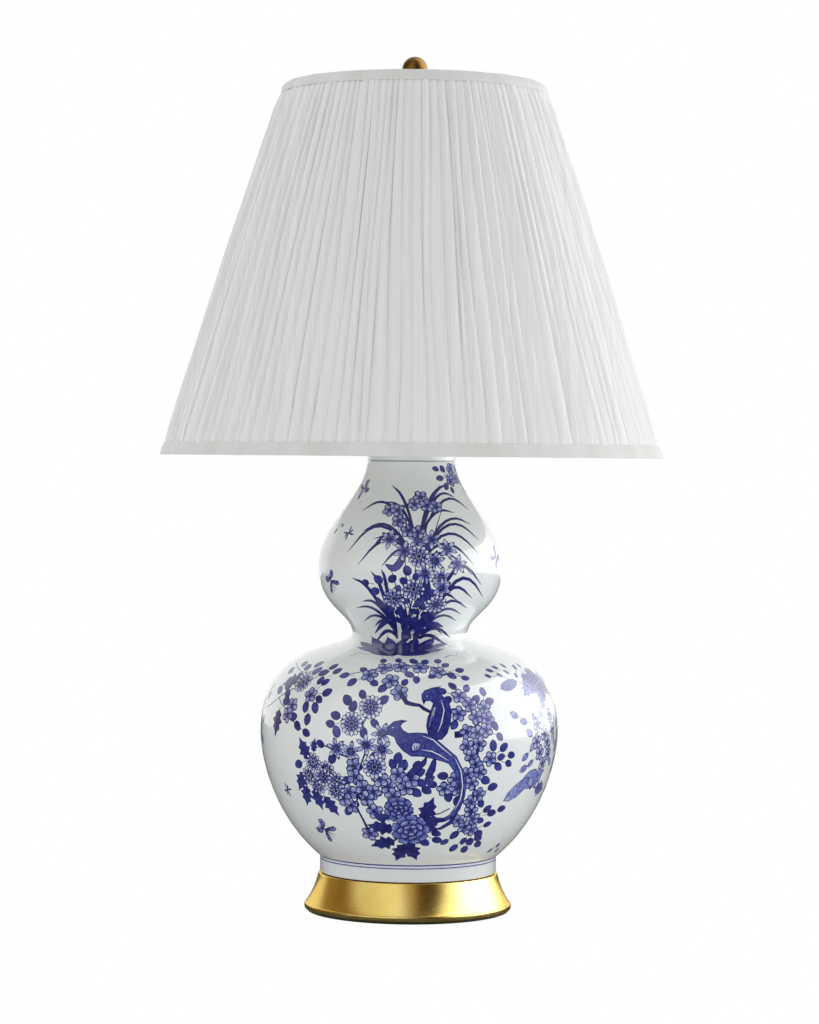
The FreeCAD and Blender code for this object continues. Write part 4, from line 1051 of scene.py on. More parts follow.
    def bird_pair(self):
        """Two crested birds, the lower one with a long tail that hangs in two plumes."""
        self.settle((8, 160.5))
        self.ribbon([24-66j, 20.5-76j, 12.5-81.8j, 4.4-84.3j], [4.5, 4.2, 3.2, 0.6], 0.86)
        near_leg = [-3-16j, -5-21j, -10-25j, -15-30j, -18.5-34j]
        far_leg = [4-16j, 3-21j, 1.5-27j, -1.5-33j, -2-34j]
        for leg in (near_leg, far_leg):
            self.ribbon(leg, [1.0, 4.5, 6.4, 6.0, 1.6], 0.86)
        upper = [
            -5.3+26.3j, -6.8+31.8j, -6.6+35.9j, -3.8+39.4j, 2.3+41.9j, 11+43.4j, 6.6+39.6j, 6.4+37.4j,
            10.5+34.8j, 15.5+29.8j, 18.2+21.7j, 17.1+11.6j, 14+2.5j, 9.4-2.5j, 0.3-2.5j, -2.2+1.5j,
            -3.8+8.6j, -2.7+15.7j, 0.6+22.7j, 2.4+27.8j, 0.3+29.8j, -3.4+29.6j,
        ]
        self.shape(upper, [-3+35j, 3+37j, 8+30j, 12+22j, 10+12j, 5+6j], 0.62, 0.76, 4+40j, 4+2j, 0.55)
        self.feathers(upper[7:], 3.0, -80)
        self.dot(-2.4+34j, 0.9, 0.06)
        wing = [2.6+25j, 4.4+26.6j, 5.4+24j, 3.6+17j, 0.6+9j, -1.6+5j, -2.6+9j, -1.2+16j]
        self.shape(wing, [3+22j, 0+12j], 0.08, 0.40, 4+26j, -1+6j, 0.6)
        for row in range(3):
            lean = row * 1.3
            self.ribbon([4.4 - lean + 23j, 2.6 - lean + 15j, 0.2 - lean * 0.6 + 7j], [0.3, 0.7, 0.4], 0.9)
        head = [-37.5+2j, -35.2+8.6j, -30.2+12.6j, -24+13.9j, -18.5+13.1j, -23.2+11j, -24.6+8.4j]
        back = [-22.4+5.4j, -18.6+3.2j, -11.9+3.6j, -3.8+3.2j, 4.4-1.5j, 10.5-6.6j, 16.5-11.6j, 22.1-16.2j]
        tail = [
            26.7-24.7j, 30.3-31.8j, 32-41.9j, 31.3-52j, 27.7-64.1j, 22.6-71.2j, 15.5-75.3j, 8.4-76.4j,
            6.6-74.4j, 12.5-72.2j, 18.6-68.2j, 23.7-60.1j, 25.7-50j, 24.7-39.9j, 20.6-29.8j, 15.5-22.7j,
        ]
        belly = [10.5-20.7j, 0.3-17.7j, -7.8-16.2j, -15.9-16.2j, -23-11.6j, -28.1-5.6j, -30.2-0.5j, -33.7+1j]
        hearts = [-28+8j, -22+0j, -14-6j, -4-7j, 6-10j, 14-16j, 21-23j, 26.6-33j, 28.6-44j, 27-58j, 18-71j]
        self.shape(head + back + tail + belly, hearts, 0.74, 0.60, -30+10j, 24-50j, 0.58)
        self.feathers(head[:1] + head[5:] + back + belly, 3.3, -38)
        self.dot(-31+7.4j, 0.9, 0.06)
        for row in range(3):
            start = complex(20.4 + row * 1.9, -20.5 - row * 1.4)
            self.ribbon(
                [start, start + 5 - 12j, start + 5.6 - 28j, start + 1 - 42j], [0.4, 0.8, 0.8, 0.3], 1.0,
            )
        bare = [
            [21-18j, 26.4-29j, 28.6-42j, 27.4-54j, 23-64j], [-7+1j, 2-2.4j, 10-9.4j, 18-15.8j],
            [-8-10.4j, 1-11.8j, 8-15.2j, 15-19.6j], [9.4+31j, 11.6+22j, 9+11j, 6+4j],
        ]
        for edge in bare:
            self.ribbon(edge, [0.2] + [0.8] * (len(edge) - 2) + [0.2], 0.0)
        wing = [-16.4-8j, -14.6-4.6j, -11-3.8j, -7.4-5.6j, -9-10.6j, -12.6-12.4j, -15.6-11.4j]
        self.shape(wing, [-12-7j], 0.06, 0.30, -16-6j, -7-10j, 0.6)
        for row in range(3):
            start = complex(-14.4 + row * 2.2, -6.4 - row * 0.2)
            self.ribbon([start, start + 0.9 - 2.2j, start + 1.4 - 4.6j], [0.3, 0.7, 0.3], 0.9)


def paint_upper(brush):
    """Orchid blades, blossoms and leaves that rise from a dark tuft at the waist."""
    heads = [(9, 356), (3, 350), (14, 349), (22, 348), (-18, 345), (-11, 345), (-9, 336), (-2, 328), (5, 327)]
    for root, tips in (
        ((0, 236), ((-14, 300), (4, 330), (12, 338), (22, 346), (-10, 338))),
        ((6, 240), ((10, 300), (20, 290), (2, 279), (-9, 276))),
        ((-6, 236), ((-22, 280), (-11, 271), (-4, 290))),
    ):
        for tip in tips:
            brush.twig([root, ((root[0] + tip[0]) / 2 + 2, (root[1] + tip[1]) / 2), tip], 1.2)
    upper_tips = [
        (-16, 366, 16), (-19, 352, 15), (-40, 344, 26), (-33, 327, 24), (-43, 309, 34), (-24, 321, 14),
        (-34, 299, 24), (-18, 298, 14), (-27, 309, 26), (27, 366, 14), (38, 367, 22), (40, 356, 26),
        (53, 345, 30), (35, 343, 16), (46, 333, 26), (50, 320, 30), (47, 309, 26), (42, 300, 20),
        (41, 291, 14),
    ]
    for degrees, height, arch in upper_tips:
        root = (4 + degrees * 0.06, min(height - 12, 322) if height > 335 else 302)
        brush.blade(root, (degrees, height), arch, 2.6)
    low_tips = [
        (-44, 288, 16), (-27, 294, 16), (-40, 268, 14), (-49, 262, 12), (-48, 250, 12), (-28, 273, 10),
        (-19, 296, 18), (69, 271, 40), (54, 271, 30), (54, 262, 22), (50, 257, 16), (48, 251, 12),
        (38, 270, 22), (60, 282, 44), (30, 262, 14), (-36, 246, 8), (33, 240, 4), (44, 236, 4),
        (-36, 232, 4), (38, 230, 2),
    ]
    for degrees, height, arch in low_tips:
        root = (-12, 236) if degrees < 0 else (9, 236)
        brush.blade(root, (degrees, height), arch + 7, 3.1)
    for start, end, bend in (
        ((-2, 246), (-36, 240), 14), ((0, 236), (-12, 272), 4), ((4, 236), (18, 262), 3),
        ((6, 236), (34, 246), 10), ((10, 292), (18, 262), -16), ((10, 292), (2, 264), -12),
        ((-2, 318), (-16, 300), -14), ((4, 318), (18, 326), -10),
    ):
        brush.blade(start, end, bend, 6.5, 0.84)
    leaf_places = [
        (-29, 284), (-20, 287), (-23, 277), (-11, 288), (-2, 295), (-4, 286), (4, 290), (-8, 279),
        (-3, 269), (8, 271), (9, 264), (3, 260), (-8, 259), (11, 257), (-2, 254), (28, 300), (14, 276),
        (-14, 262),
    ]
    brush.leaves(leaf_places, [(2, 279), (-11, 271), (-16, 282)], 8.6, 7.0, 0.9)
    brush.each(
        brush.lily,
        ((-14, 321), (14, 321), (24, 313), (15, 303), (30, 300), (9, 292), (19, 289), (6, 246), (20, 280)),
        1.15,
    )
    brush.each(brush.lily, ((5, 321), (-4, 311)), 1.2)
    brush.each(brush.mum, ((5, 307), (2, 279), (-11, 271), (18, 266)), 1.08, 12)
    brush.each(brush.plum, heads, 1.08)
    brush.each(brush.leaf, ((3, 250), (-4, 240), (9, 246)), 80, 16, 8, 0.95)
    tuft = [
        -30-5j, -24+3j, -27+12j, -18+6j, -13+16j, -9+24j, -4+26j, 0+16j, 4+6j, 9+10j, 19+16j, 15+6j, 26+3j,
        17-5j, 8-8j, -8-9j, -20-8j,
    ]
    brush.settle((-8, 233), 0, 1.15)
    brush.shape(tuft, [-18-2j, -10+4j, -6+12j, 2-2j, 12+2j], 0.98, 0.8, -5-8j, -5+20j, 0.6)
    fan = [
        (172, 27, 9), (160, 46, 10), (148, 52, 11), (132, 46, 12), (112, 38, 12), (90, 34, 12),
        (70, 38, 12), (50, 46, 12), (34, 50, 11), (20, 42, 10), (8, 27, 8),
    ]
    for turn, long, wide in fan:
        brush.leaf((-7, 224.5), turn, long, wide, 0.97, 0.14, rooted=True)
    for turn, long, _ in fan:
        brush.settle((-7, 224.5), turn + 4)
        brush.ribbon([5, long * 0.6 + 0.5j, long * 0.92], [0.2, 0.55, 0.2], 0.5, 0.1)
    for lean in (-13, -5, 3, 10):
        brush.ribbon([lean - 5j, lean * 1.15 + 2j, lean * 1.3 + 9j], [0.3, 0.5, 0.2], 0.55, 0.1)
    brush.twig([(-40, 223), (-26, 221), (-8, 220.5), (8, 220.5), (22, 223)], 1.9)
    brush.twig([(-36, 222.5), (-33, 225), (-26, 224), (-22, 226)], 0.8)
    brush.twig([(20, 222.5), (24, 224), (28, 223.5), (32, 226)], 0.8)
    brush.twig([(63, 384), (54, 377), (47, 373), (41, 372)], 1.0)
    brush.leaves([(32, 380), (43, 380), (42, 365), (49, 362), (36, 372)], [(50, 376)], 7.5, 5)
    brush.leaves([(74, 380), (84, 376), (78, 362), (86, 366)], [(78, 371)], 7.5, 5)
    brush.each(brush.plum, ((59, 380), (53, 370), (66, 372), (78, 371)), 0.95)
    brush.butterfly((-60, 363), 215, 1.2)
    brush.butterfly((-60, 285), 300, 1.35)
    brush.butterfly((68, 304), 130, 1.25)
    brush.fly((-48, 325), 40, 1.5)
    brush.dot(0j, 0.4)
    brush.leaves([(-60, 331), (-66, 326)], [(-64, 333)], 5, 3.6)


def paint_garland(brush):
    """Plum blossom along the top of the lower bulb."""
    brush.twig([(-30, 208), (-16, 214), (0, 217), (16, 214), (28, 208)], 0.9)
    plums = [(-18, 209), (-12, 214.5), (-4, 215.5), (-8, 205), (-4, 196), (5, 215), (13, 212)]
    rim = [
        (-30, 208), (-25, 203), (-22, 213), (-14, 220), (-6, 220.5), (2, 220), (8, 219.5), (10, 209),
        (0, 210), (18, 217), (19, 209), (24, 213), (25, 207), (-15, 203), (-2, 204), (3, 206), (-11, 199),
        (15, 220),
    ]
    brush.leaves(rim, plums, 9.0, 6.6)
    brush.each(brush.plum, plums, 1.22)


def paint_left_spray(brush):
    """Chrysanthemums, lilies and plum blossom left of the birds."""
    brush.twig([(-18, 78), (-22, 100), (-20, 128), (-16, 150), (-18, 170), (-15, 184)], 2.2)
    brush.twig([(-14, 96), (-20, 112), (-30, 122), (-38, 136)], 1.7)
    brush.twig([(-20, 140), (-32, 150), (-40, 152)], 1.3)
    brush.twig([(-4, 197), (-1, 188), (4, 186), (8, 181), (13, 172)], 4.2)
    mums = [(-22, 170), (-15, 184), (-13, 135)]
    small = [(-39, 136), (-42, 124), (-33, 130), (-29, 121), (-38, 117), (-30, 113), (-35, 124)]
    lilies = [(-28, 149), (-22, 147), (-10, 163), (-10, 150), (-16, 153)]
    plums = [
        (-21, 135), (-21, 126), (-18, 117), (-24, 113), (-14, 114), (-17, 108), (-24, 101), (-14, 97),
        (-18, 77), (-4, 129), (-8, 119), (-6, 111), (-1, 118), (1, 125), (-11, 125), (-27, 107),
    ]
    leaves = [
        (-25, 189), (-19, 194), (-10, 190), (-22, 184), (-29, 176), (-31, 169), (-28, 163), (-17, 163),
        (-13, 171), (-35, 152), (-47, 133), (-6, 138), (-2, 137), (4, 131), (5, 122), (3, 114), (-25, 122),
        (-1, 105), (-26, 96), (8, 126), (7, 116), (-13, 143), (-4, 143), (-30, 140), (3, 137),
    ]
    brush.leaves(leaves, mums + lilies + plums, 10.0, 7.4, 0.92)
    for place, turn in (
        ((-43, 146), 120), ((-47, 119), 235), ((-46, 107), 250), ((-40, 105), 280), ((-34, 100), 300),
    ):
        brush.lobed_leaf(place, turn, 1.55)
    brush.lobed_leaf((-38, 150), 80, 0.9)
    brush.each(brush.lily, lilies, 1.15)
    brush.each(brush.plum, plums, 1.22)
    brush.each(brush.mum, small, 0.94, 11)
    brush.each(brush.mum, mums, 1.15, 14)


def paint_foot_spray(brush):
    """Peonies and their lobed leaves under the birds."""
    brush.twig([(-6, 84), (4, 92), (14, 96), (18, 100)], 2.0)
    for place, turn in (
        ((-12, 83), 170), ((-4, 61), 250), ((-12, 69), 200), ((2, 62), 290), ((9, 88), 20), ((8, 99), 70),
    ):
        brush.lobed_leaf(place, turn, 1.75, 0.94)
    brush.leaves(
        [(11, 82), (-9, 93), (-8, 101), (13, 78), (8, 70), (-12, 92), (14, 72)], [(0, 82)], 10, 7, 0.92,
    )
    brush.peony((-4, 99), 1.15)
    brush.peony((1, 81), 1.5)


def paint_right_chain(brush):
    """Plum blossom that hangs in a chain right of the birds."""
    brush.twig([(27, 78), (28, 104), (25, 130), (27, 158), (25, 178), (20, 196)], 2.6)
    brush.twig([(17, 162), (21, 163), (25, 167), (27, 172)], 5.0)
    plums = [
        (20, 193), (24, 186), (19, 179), (30, 183), (31, 174), (26, 176), (22, 164), (26, 163), (22, 152),
        (27, 154), (30, 165), (24, 144), (26, 137), (32, 141), (23, 129), (28, 130), (25, 121), (29, 111),
        (26, 105), (27, 97), (29, 90), (22, 89), (26, 83), (30, 80), (14, 117), (19, 117), (18, 125),
    ]
    leaves = [
        (13, 197), (18, 201), (24, 199), (31, 196), (15, 190), (34, 168), (36, 159), (33, 152), (38, 150),
        (37, 142), (41, 136), (36, 134), (42, 143), (31, 123), (35, 117), (31, 103), (35, 98), (38, 94),
        (43, 97), (33, 88), (38, 84), (13, 128), (9, 121), (20, 106), (16, 110), (22, 76), (32, 69),
        (36, 72), (28, 70), (18, 70), (24, 64), (31, 62), (38, 66), (35, 76), (27, 190), (33, 188),
        (17, 170),
    ]
    brush.leaves(leaves, plums, 9.4, 6.9, 0.9)
    brush.each(brush.plum, plums, 1.1)


def paint_side_bouquet(brush):
    """A shoulder cluster, a hanging spray and long leaves, as on the lamp's right side."""
    brush.twig([(84, 208), (74, 200), (64, 194), (54, 202), (46, 207)], 1.4)
    brush.twig([(86, 200), (80, 176), (70, 150), (64, 128), (60, 118)], 1.5)
    brush.each(brush.peony, ((62, 200), (70, 204), (68, 194), (76, 198)), 0.98)
    brush.lobed_leaf((57, 196), 215, 1.6, 0.5)
    brush.lobed_leaf((66, 186), 250, 1.5, 0.5)
    brush.leaf((46, 200), 196, 27, 10, 0.8, 0.15)
    leaves = [
        (40, 212), (45, 214), (50, 210), (55, 207), (52, 215), (60, 213), (44, 208), (37, 208), (66, 214),
    ]
    brush.leaves(leaves, [(62, 200), (54, 204)], 7.4, 4.8, 0.8)
    blossoms = [
        (58, 166), (63, 158), (57, 152), (66, 150), (60, 142), (68, 140), (72, 160), (70, 172), (64, 132),
    ]
    pale = [
        (44, 176), (49, 170), (52, 160), (54, 148), (50, 140), (56, 172), (62, 176), (54, 134), (74, 150),
        (76, 168), (66, 182), (50, 130), (58, 126), (72, 132), (78, 142),
    ]
    brush.leaves(pale, blossoms, 9.6, 5.8, 0.42)
    brush.each(brush.plum, blossoms, 1.15, 0.2)
    brush.lobed_leaf((61, 120), 25, 2.2, 0.45)
    brush.leaf((56, 120), 196, 26, 17, 0.42)
    brush.leaf((49, 112), 214, 36, 13, 0.42, 0.16)
    brush.lobed_leaf((68, 110), 350, 1.7, 0.62)
    # A hanging spray that meets its mirrored copy at the gourd's side.
    brush.twig([(84, 208), (82, 184), (86, 160), (84, 136), (86, 108)], 1.6)
    hanging = [(83, 176), (87, 164), (82, 154), (86, 142), (81, 132), (86, 122)]
    buds = [(78, 190), (86, 190), (79, 166), (78, 146), (79, 124), (84, 112), (88, 104), (80, 108), (88, 152)]
    brush.leaves(buds, hanging, 9.4, 6.4, 0.8)
    brush.each(brush.plum, hanging, 1.1)
    brush.leaves([(52, 58), (56, 62), (60, 57)], [(56, 66)], 7, 4.6, 0.7)


def paint_left_side(brush):
    """Dark flower and twigs at the left edge of the lower bulb."""
    brush.twig([(-74, 176), (-64, 186), (-54, 196), (-46, 206)], 1.4)
    brush.twig([(-64, 186), (-56, 178), (-50, 170), (-46, 160)], 1.0)
    brush.twig([(-72, 214), (-62, 210), (-54, 208), (-46, 211)], 0.9)
    plums = [(-43, 191), (-52, 181), (-54, 173)]
    leaves = [
        (-47, 210), (-42, 209), (-35, 211), (-39, 214), (-35, 194), (-38, 188), (-39, 181), (-44, 181),
        (-42, 171), (-47, 165), (-42, 160), (-38, 202), (-41, 203), (-56, 205), (-60, 196), (-58, 190),
        (-62, 200), (-56, 212), (-50, 215), (-62, 214), (-68, 208), (-50, 172), (-57, 184), (-66, 192),
    ]
    brush.leaves(leaves, plums + [(-51, 201)], 10.2, 7.4, 0.94)
    brush.each(brush.plum, plums, 1.15)
    brush.mum((-51, 201), 1.15, 12)
    for place, turn in (((-61, 166), 262), ((-60, 200), 200)):
        brush.lobed_leaf(place, turn, 1.8, 1.0)
    # A spray for the side, out of the picture's sight.
    brush.twig([(-76, 196), (-84, 176), (-86, 150), (-84, 120)], 1.6)
    hanging = [(-82, 178), (-87, 166), (-82, 156), (-86, 144), (-82, 132)]
    buds = [(-76, 186), (-88, 184), (-77, 166), (-78, 148), (-87, 132), (-80, 120), (-86, 116)]
    brush.leaves(buds, hanging, 9.4, 6.4, 0.8)
    brush.each(brush.plum, hanging, 1.1)
    brush.fly((-59, 109), 60, 1.5)
    brush.butterfly((-43, 78), 320, 1.5)


def paint_gourd(side, stroke):
    """The whole pattern: the front is painted again, mirrored, on the back."""
    brush = Painting(side, stroke)
    for degrees, mirrored in ((0, False), (180, True)):
        brush.carry(degrees, mirrored)
        paint_garland(brush)
        paint_left_side(brush)
        paint_side_bouquet(brush)
        paint_right_chain(brush)
        paint_left_spray(brush)
        paint_foot_spray(brush)
        brush.bird_pair()
        paint_upper(brush)
    return brush.shapes


def topmost(centres, outlines):
    """The last outline painted over each centre, or -1."""
    order = np.argsort(centres.real)
    across = centres.real[order]
    top = np.full(len(centres), -1)
    for index, outline in enumerate(outlines):
        first, last = np.searchsorted(across, (outline.real.min(), outline.real.max()))
        near = order[first:last]
        height = centres.imag[near]
        near = near[(height > outline.imag.min()) & (height < outline.imag.max())]
        spot = centres[near][:, None]
        start, end = outline[None, :], np.roll(outline, -1)[None, :]
        left = ((end - start).conj() * (spot - start)).imag
        upward = (start.imag <= spot.imag) & (end.imag > spot.imag) & (left > 0)
        downward = (end.imag <= spot.imag) & (start.imag > spot.imag) & (left < 0)
        turns = upward.sum(axis=1) - downward.sum(axis=1)
        top[near[turns != 0]] = index
    return top


def painted_side(side, shapes):
    """Cuts the painted shapes into the side's flat layout and rolls it up again. Returns the mesh
    data, the tone and rim of each face corner, and the normal of each point."""
    rows = int(side.total / ROW_STEP)
    across = np.linspace(SEAM - math.tau, SEAM, COLUMNS + 1) * DRUM
    grid_x, grid_y = np.meshgrid(across, np.linspace(0, side.total, rows + 1))
    points = list(zip(grid_x.ravel(), grid_y.ravel()))
    edges = []
    for laid, inner, *_ in shapes:
        first, count = len(points), len(laid)
        edges.extend((first + index, first + (index + 1) % count) for index in range(count))
        points.extend(zip(laid.real, laid.imag))
        points.extend(zip(inner.real, inner.imag))
    cut = delaunay_2d_cdt([Vector(point) for point in points], edges, [], 0, 1e-3, False)
    places = np.array([complex(*point) for point in cut[0]])
    triangles = np.array(cut[2])
    top = topmost(places[triangles].mean(axis=1), [shape[0] for shape in shapes])
    tone = np.zeros(triangles.shape)
    rim = np.full(triangles.shape, FAR_INSIDE)
    order = np.argsort(top, kind="stable")
    starts = np.searchsorted(top[order], np.arange(len(shapes)))
    ends = np.searchsorted(top[order], np.arange(len(shapes)), side="right")
    for index, (laid, _, root_tone, tip_tone, ends_at, scale, line) in enumerate(shapes):
        mine = order[starts[index] : ends[index]]
        if not len(mine):
            continue
        at = places[triangles[mine]].ravel()
        true = at.real * scale + 1j * at.imag
        outline = laid.real * scale + 1j * laid.imag
        root, tip = ends_at.real * scale + 1j * ends_at.imag
        way = tip - root
        share = np.clip(((true - root) * way.conjugate()).real / max(abs(way) ** 2, 1e-6), 0, 1)
        tone[mine] = (tip_tone + (root_tone - tip_tone) * (1 - share) ** TONE_FALL).reshape(-1, 3)
        rim[mine] = np.minimum(rim_distance(true, outline) / line, FAR_INSIDE).reshape(-1, 3)
    angles = places.real / DRUM
    radii, heights, out = side.radius(places.imag), side.height(places.imag), side.outward(places.imag)
    rolled = np.stack([radii * np.sin(angles), -radii * np.cos(angles), heights], axis=1)
    normals = np.stack([out.real * np.sin(angles), -out.real * np.cos(angles), out.imag], axis=1)
    return rolled, triangles, tone, rim, normals


def build_gourd(sizes, colours):
    """Porcelain with its painted side, foot, neck and inside in one closed mesh."""
    side = GourdSide(sizes)
    rolled, triangles, tone, rim, normals = painted_side(side, paint_gourd(side, sizes.stroke))
    foot, neck, wall = in_mm(sizes.foot_radius, sizes.neck_radius, sizes.wall)
    low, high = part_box("gourd_body")
    base, top = in_mm(low.z, high.z)
    inner = GourdSide(sizes, wall)
    floor, under = base + FLOOR_HEIGHT, base + FLOOR_HEIGHT - FLOOR_THICKNESS
    inside = [(radius, height, 0) for radius, height in zip(inner.radii[::-10], inner.heights[::-10])]
    inside = [corner for corner in inside if corner[1] > floor + 1]
    start_radius = float(np.interp(floor, inner.heights, inner.radii))
    cut = neck - GROOVE_DEPTH
    corners = [
        (neck, GROOVE, 0), (cut, GROOVE, 0.15), (cut, GROOVE + GROOVE_WIDTH, 0.15),
        (neck, GROOVE + GROOVE_WIDTH, 0.3), (neck, top, 0.8), (neck - wall, top, 0.8),
    ]
    corners += [(neck - wall, GROOVE, 0), *inside[1:], (start_radius, floor, 2)]
    corners += [(PIPE_HOLE, floor, 0.5), (PIPE_HOLE, under, 0.5), (foot - FOOT_WALL, under, 1.5)]
    corners += [
        (foot - FOOT_WALL, base, 1.0), (foot, base, 1.0), (foot, CREASE, 0.2), (CREASE_RADIUS, CREASE, 0),
    ]
    rest = lathe("foot and inside", rounded(corners, closed=False), COLUMNS, closed=False)
    outside = mesh_of("painted side", rolled, triangles.tolist())
    for name, numbers, unpainted in (("tone", tone, 0.0), ("rim", rim, FAR_INSIDE)):
        layer = outside.attributes.new(name, "FLOAT", "CORNER")
        layer.data.foreach_set("value", numbers.ravel().astype(np.float32))
        spare = rest.attributes.new(name, "FLOAT", "CORNER")
        spare.data.foreach_set("value", np.full(len(rest.loops), unpainted, np.float32))
    direction = outside.attributes.new("outward", "FLOAT_VECTOR", "CORNER")
    direction.data.foreach_set("vector", normals[triangles].astype(np.float32).ravel())
    rest.attributes.new("outward", "FLOAT_VECTOR", "CORNER")
    whole = joined("painted_gourd", outside, rest)
    whole.shade_smooth()
    whole.set_sharp_from_angle(angle=math.radians(SHARP_ANGLE))
    # The side keeps the smooth curve's own normals, the rest those of its faces.
    own = np.zeros(len(whole.loops) * 3, np.float32)
    whole.attributes["outward"].data.foreach_get("vector", own)
    own = own.reshape(-1, 3)
    found = np.zeros(len(whole.loops) * 3, np.float32)
    whole.corner_normals.foreach_get("vector", found)
    bare = np.abs(own).sum(axis=1) < 0.5
    own[bare] = found.reshape(-1, 3)[bare]
    whole.normals_split_custom_set(own.tolist())
    whole.attributes.remove(whole.attributes["outward"])
    piece("painted_gourd", whole, porcelain_finish(colours), "gourd_body", crease=None)


# ---- metal, rubber and mouldings ----


def brass_finish(colours):
    return metal_finish("lacquered brass", colours.brass, linear(176, 132, 62), 0.27, (1, 1, 8))


def steel_finish():
    return metal_finish("zinc-plated steel", linear(190, 190, 188), linear(150, 150, 150), 0.38, (1, 1, 6))


def nickel_finish():
    return metal_finish("nickel-plated steel", linear(198, 192, 180), linear(150, 144, 134), 0.28)


def black_finish():
    return plain_finish("black moulding", linear(34, 34, 36), linear(22, 22, 24), 0.5, 420, 0.04)


def build_neck(colours):
    """Gaskets, nuts, pipe, cap, spacer and the saddle that carries the harp."""
    rubber = plain_finish("red rubber", linear(96, 36, 28), linear(70, 26, 22), 0.7, 500, 0.05)
    pipe_steel = metal_finish("threaded pipe steel", linear(150, 148, 142), linear(92, 90, 86), 0.45)
    for nodes, finish in (
        (("foot_gasket", "cap_gasket"), rubber),
        (("base_nut", "base_washer", "lock_nut"), steel_finish()),
        (("vase_cap", "neck_spacer"), brass_finish(colours)),
        (("cord_bushing",), black_finish()),
        (("harp_saddle",), nickel_finish()),
        (("lamp_pipe",), pipe_steel),
    ):
        for node in nodes:
            piece(f"eased_{node}", eased_copy(node), finish, node)


# ---- socket and bulb ----

THREAD_PITCH = 3.63
# A thread fades out over this height at both ends, and reaches this far in from the outer radius.
THREAD_FADE, THREAD_REACH = 2, 1.2
SHELL_THICKNESS = 0.25
RIBS_ON_KNOB = 18
# The bulb's body starts at this radius and carries this many ribs outside the second radius.
BODY_START, BODY_RIBS, RIBS_FROM = 13, 30, 11


def threaded(radius, start, end, deep=0.45):
    """A reshape for lathe: a rolled thread between two heights that fades out at its ends."""

    def reshape(reach, angle, height):
        if reach <= radius - THREAD_REACH:
            return reach, height
        fade = min(1.0, max(0.0, (height - start) / THREAD_FADE), max(0.0, (end - height) / THREAD_FADE))
        wave = math.sin(math.tau * (height / THREAD_PITCH - angle / math.tau))
        return reach - deep * fade * (0.5 - 0.5 * wave), height

    return reshape


def column(radius, low, high, steps):
    """An upright line of an outline, in steps."""
    return [(radius, height) for height in np.linspace(low, high, steps)]


def build_socket(colours):
    """Socket with its cap, shell, sleeve, switch block, contacts and threaded shell."""
    brass, steel, black = brass_finish(colours), steel_finish(), black_finish()
    paper = plain_finish("pressed cardboard", linear(120, 96, 66), linear(100, 80, 54), 0.85, 700, 0.12)
    for nodes, finish in (
        (("socket_cap", "socket_shell", "centre_contact", "terminal_screws"), brass),
        (("set_screw", "switch_spindle"), steel),
        (("insulating_sleeve",), paper),
        (("socket_interior",), black),
    ):
        for node in nodes:
            piece(f"eased_{node}", eased_copy(node, 0.15), finish, node)
    low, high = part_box("screw_shell")
    bottom, top, outside = in_mm(low.z, high.z, high.x)
    inside = outside - SHELL_THICKNESS
    outline = column(outside, bottom, top, 60) + column(inside, top, bottom, 60)
    mesh = lathe("threaded_shell", outline, 48, reshape=threaded(outside, bottom, top, 0.25))
    piece("threaded_shell", mesh, brass, "screw_shell")
    build_knob(black)


def build_knob(black):
    """The switch's knob: a fluted barrel with a domed end."""
    low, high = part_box("switch_knob")
    long = (high.y - low.y) / MM
    radius = high.x / MM
    outline = [(0, 0, 0), (radius * 0.8, 0, 0.6), (radius * 0.8, 2, 0.3), (radius, 2.6, 0.5)]
    outline += [(radius, long - 1, 0.8), (radius * 0.7, long, 0.8), (0, long, 0)]
    barrel = lathe("knob", rounded(outline, closed=False), 48, closed=False)
    rib = lathe("rib", [(0, 3.2), (0.42, 3.4), (0.42, long - 1.6), (0, long - 1.4)], 8, closed=False)
    rib.transform(Matrix.Translation((radius * 0.955 * MM, 0, 0)))
    whole = joined("fluted_knob", barrel, repeated("ribs", rib, RIBS_ON_KNOB, 0.0, black))
    centre = (low + high) / 2
    lie_down = Matrix.Rotation(math.radians(90), 4, "X")
    whole.transform(Matrix.Translation((centre.x, high.y, centre.z)) @ lie_down)
    piece("fluted_knob", whole, black, "switch_knob")


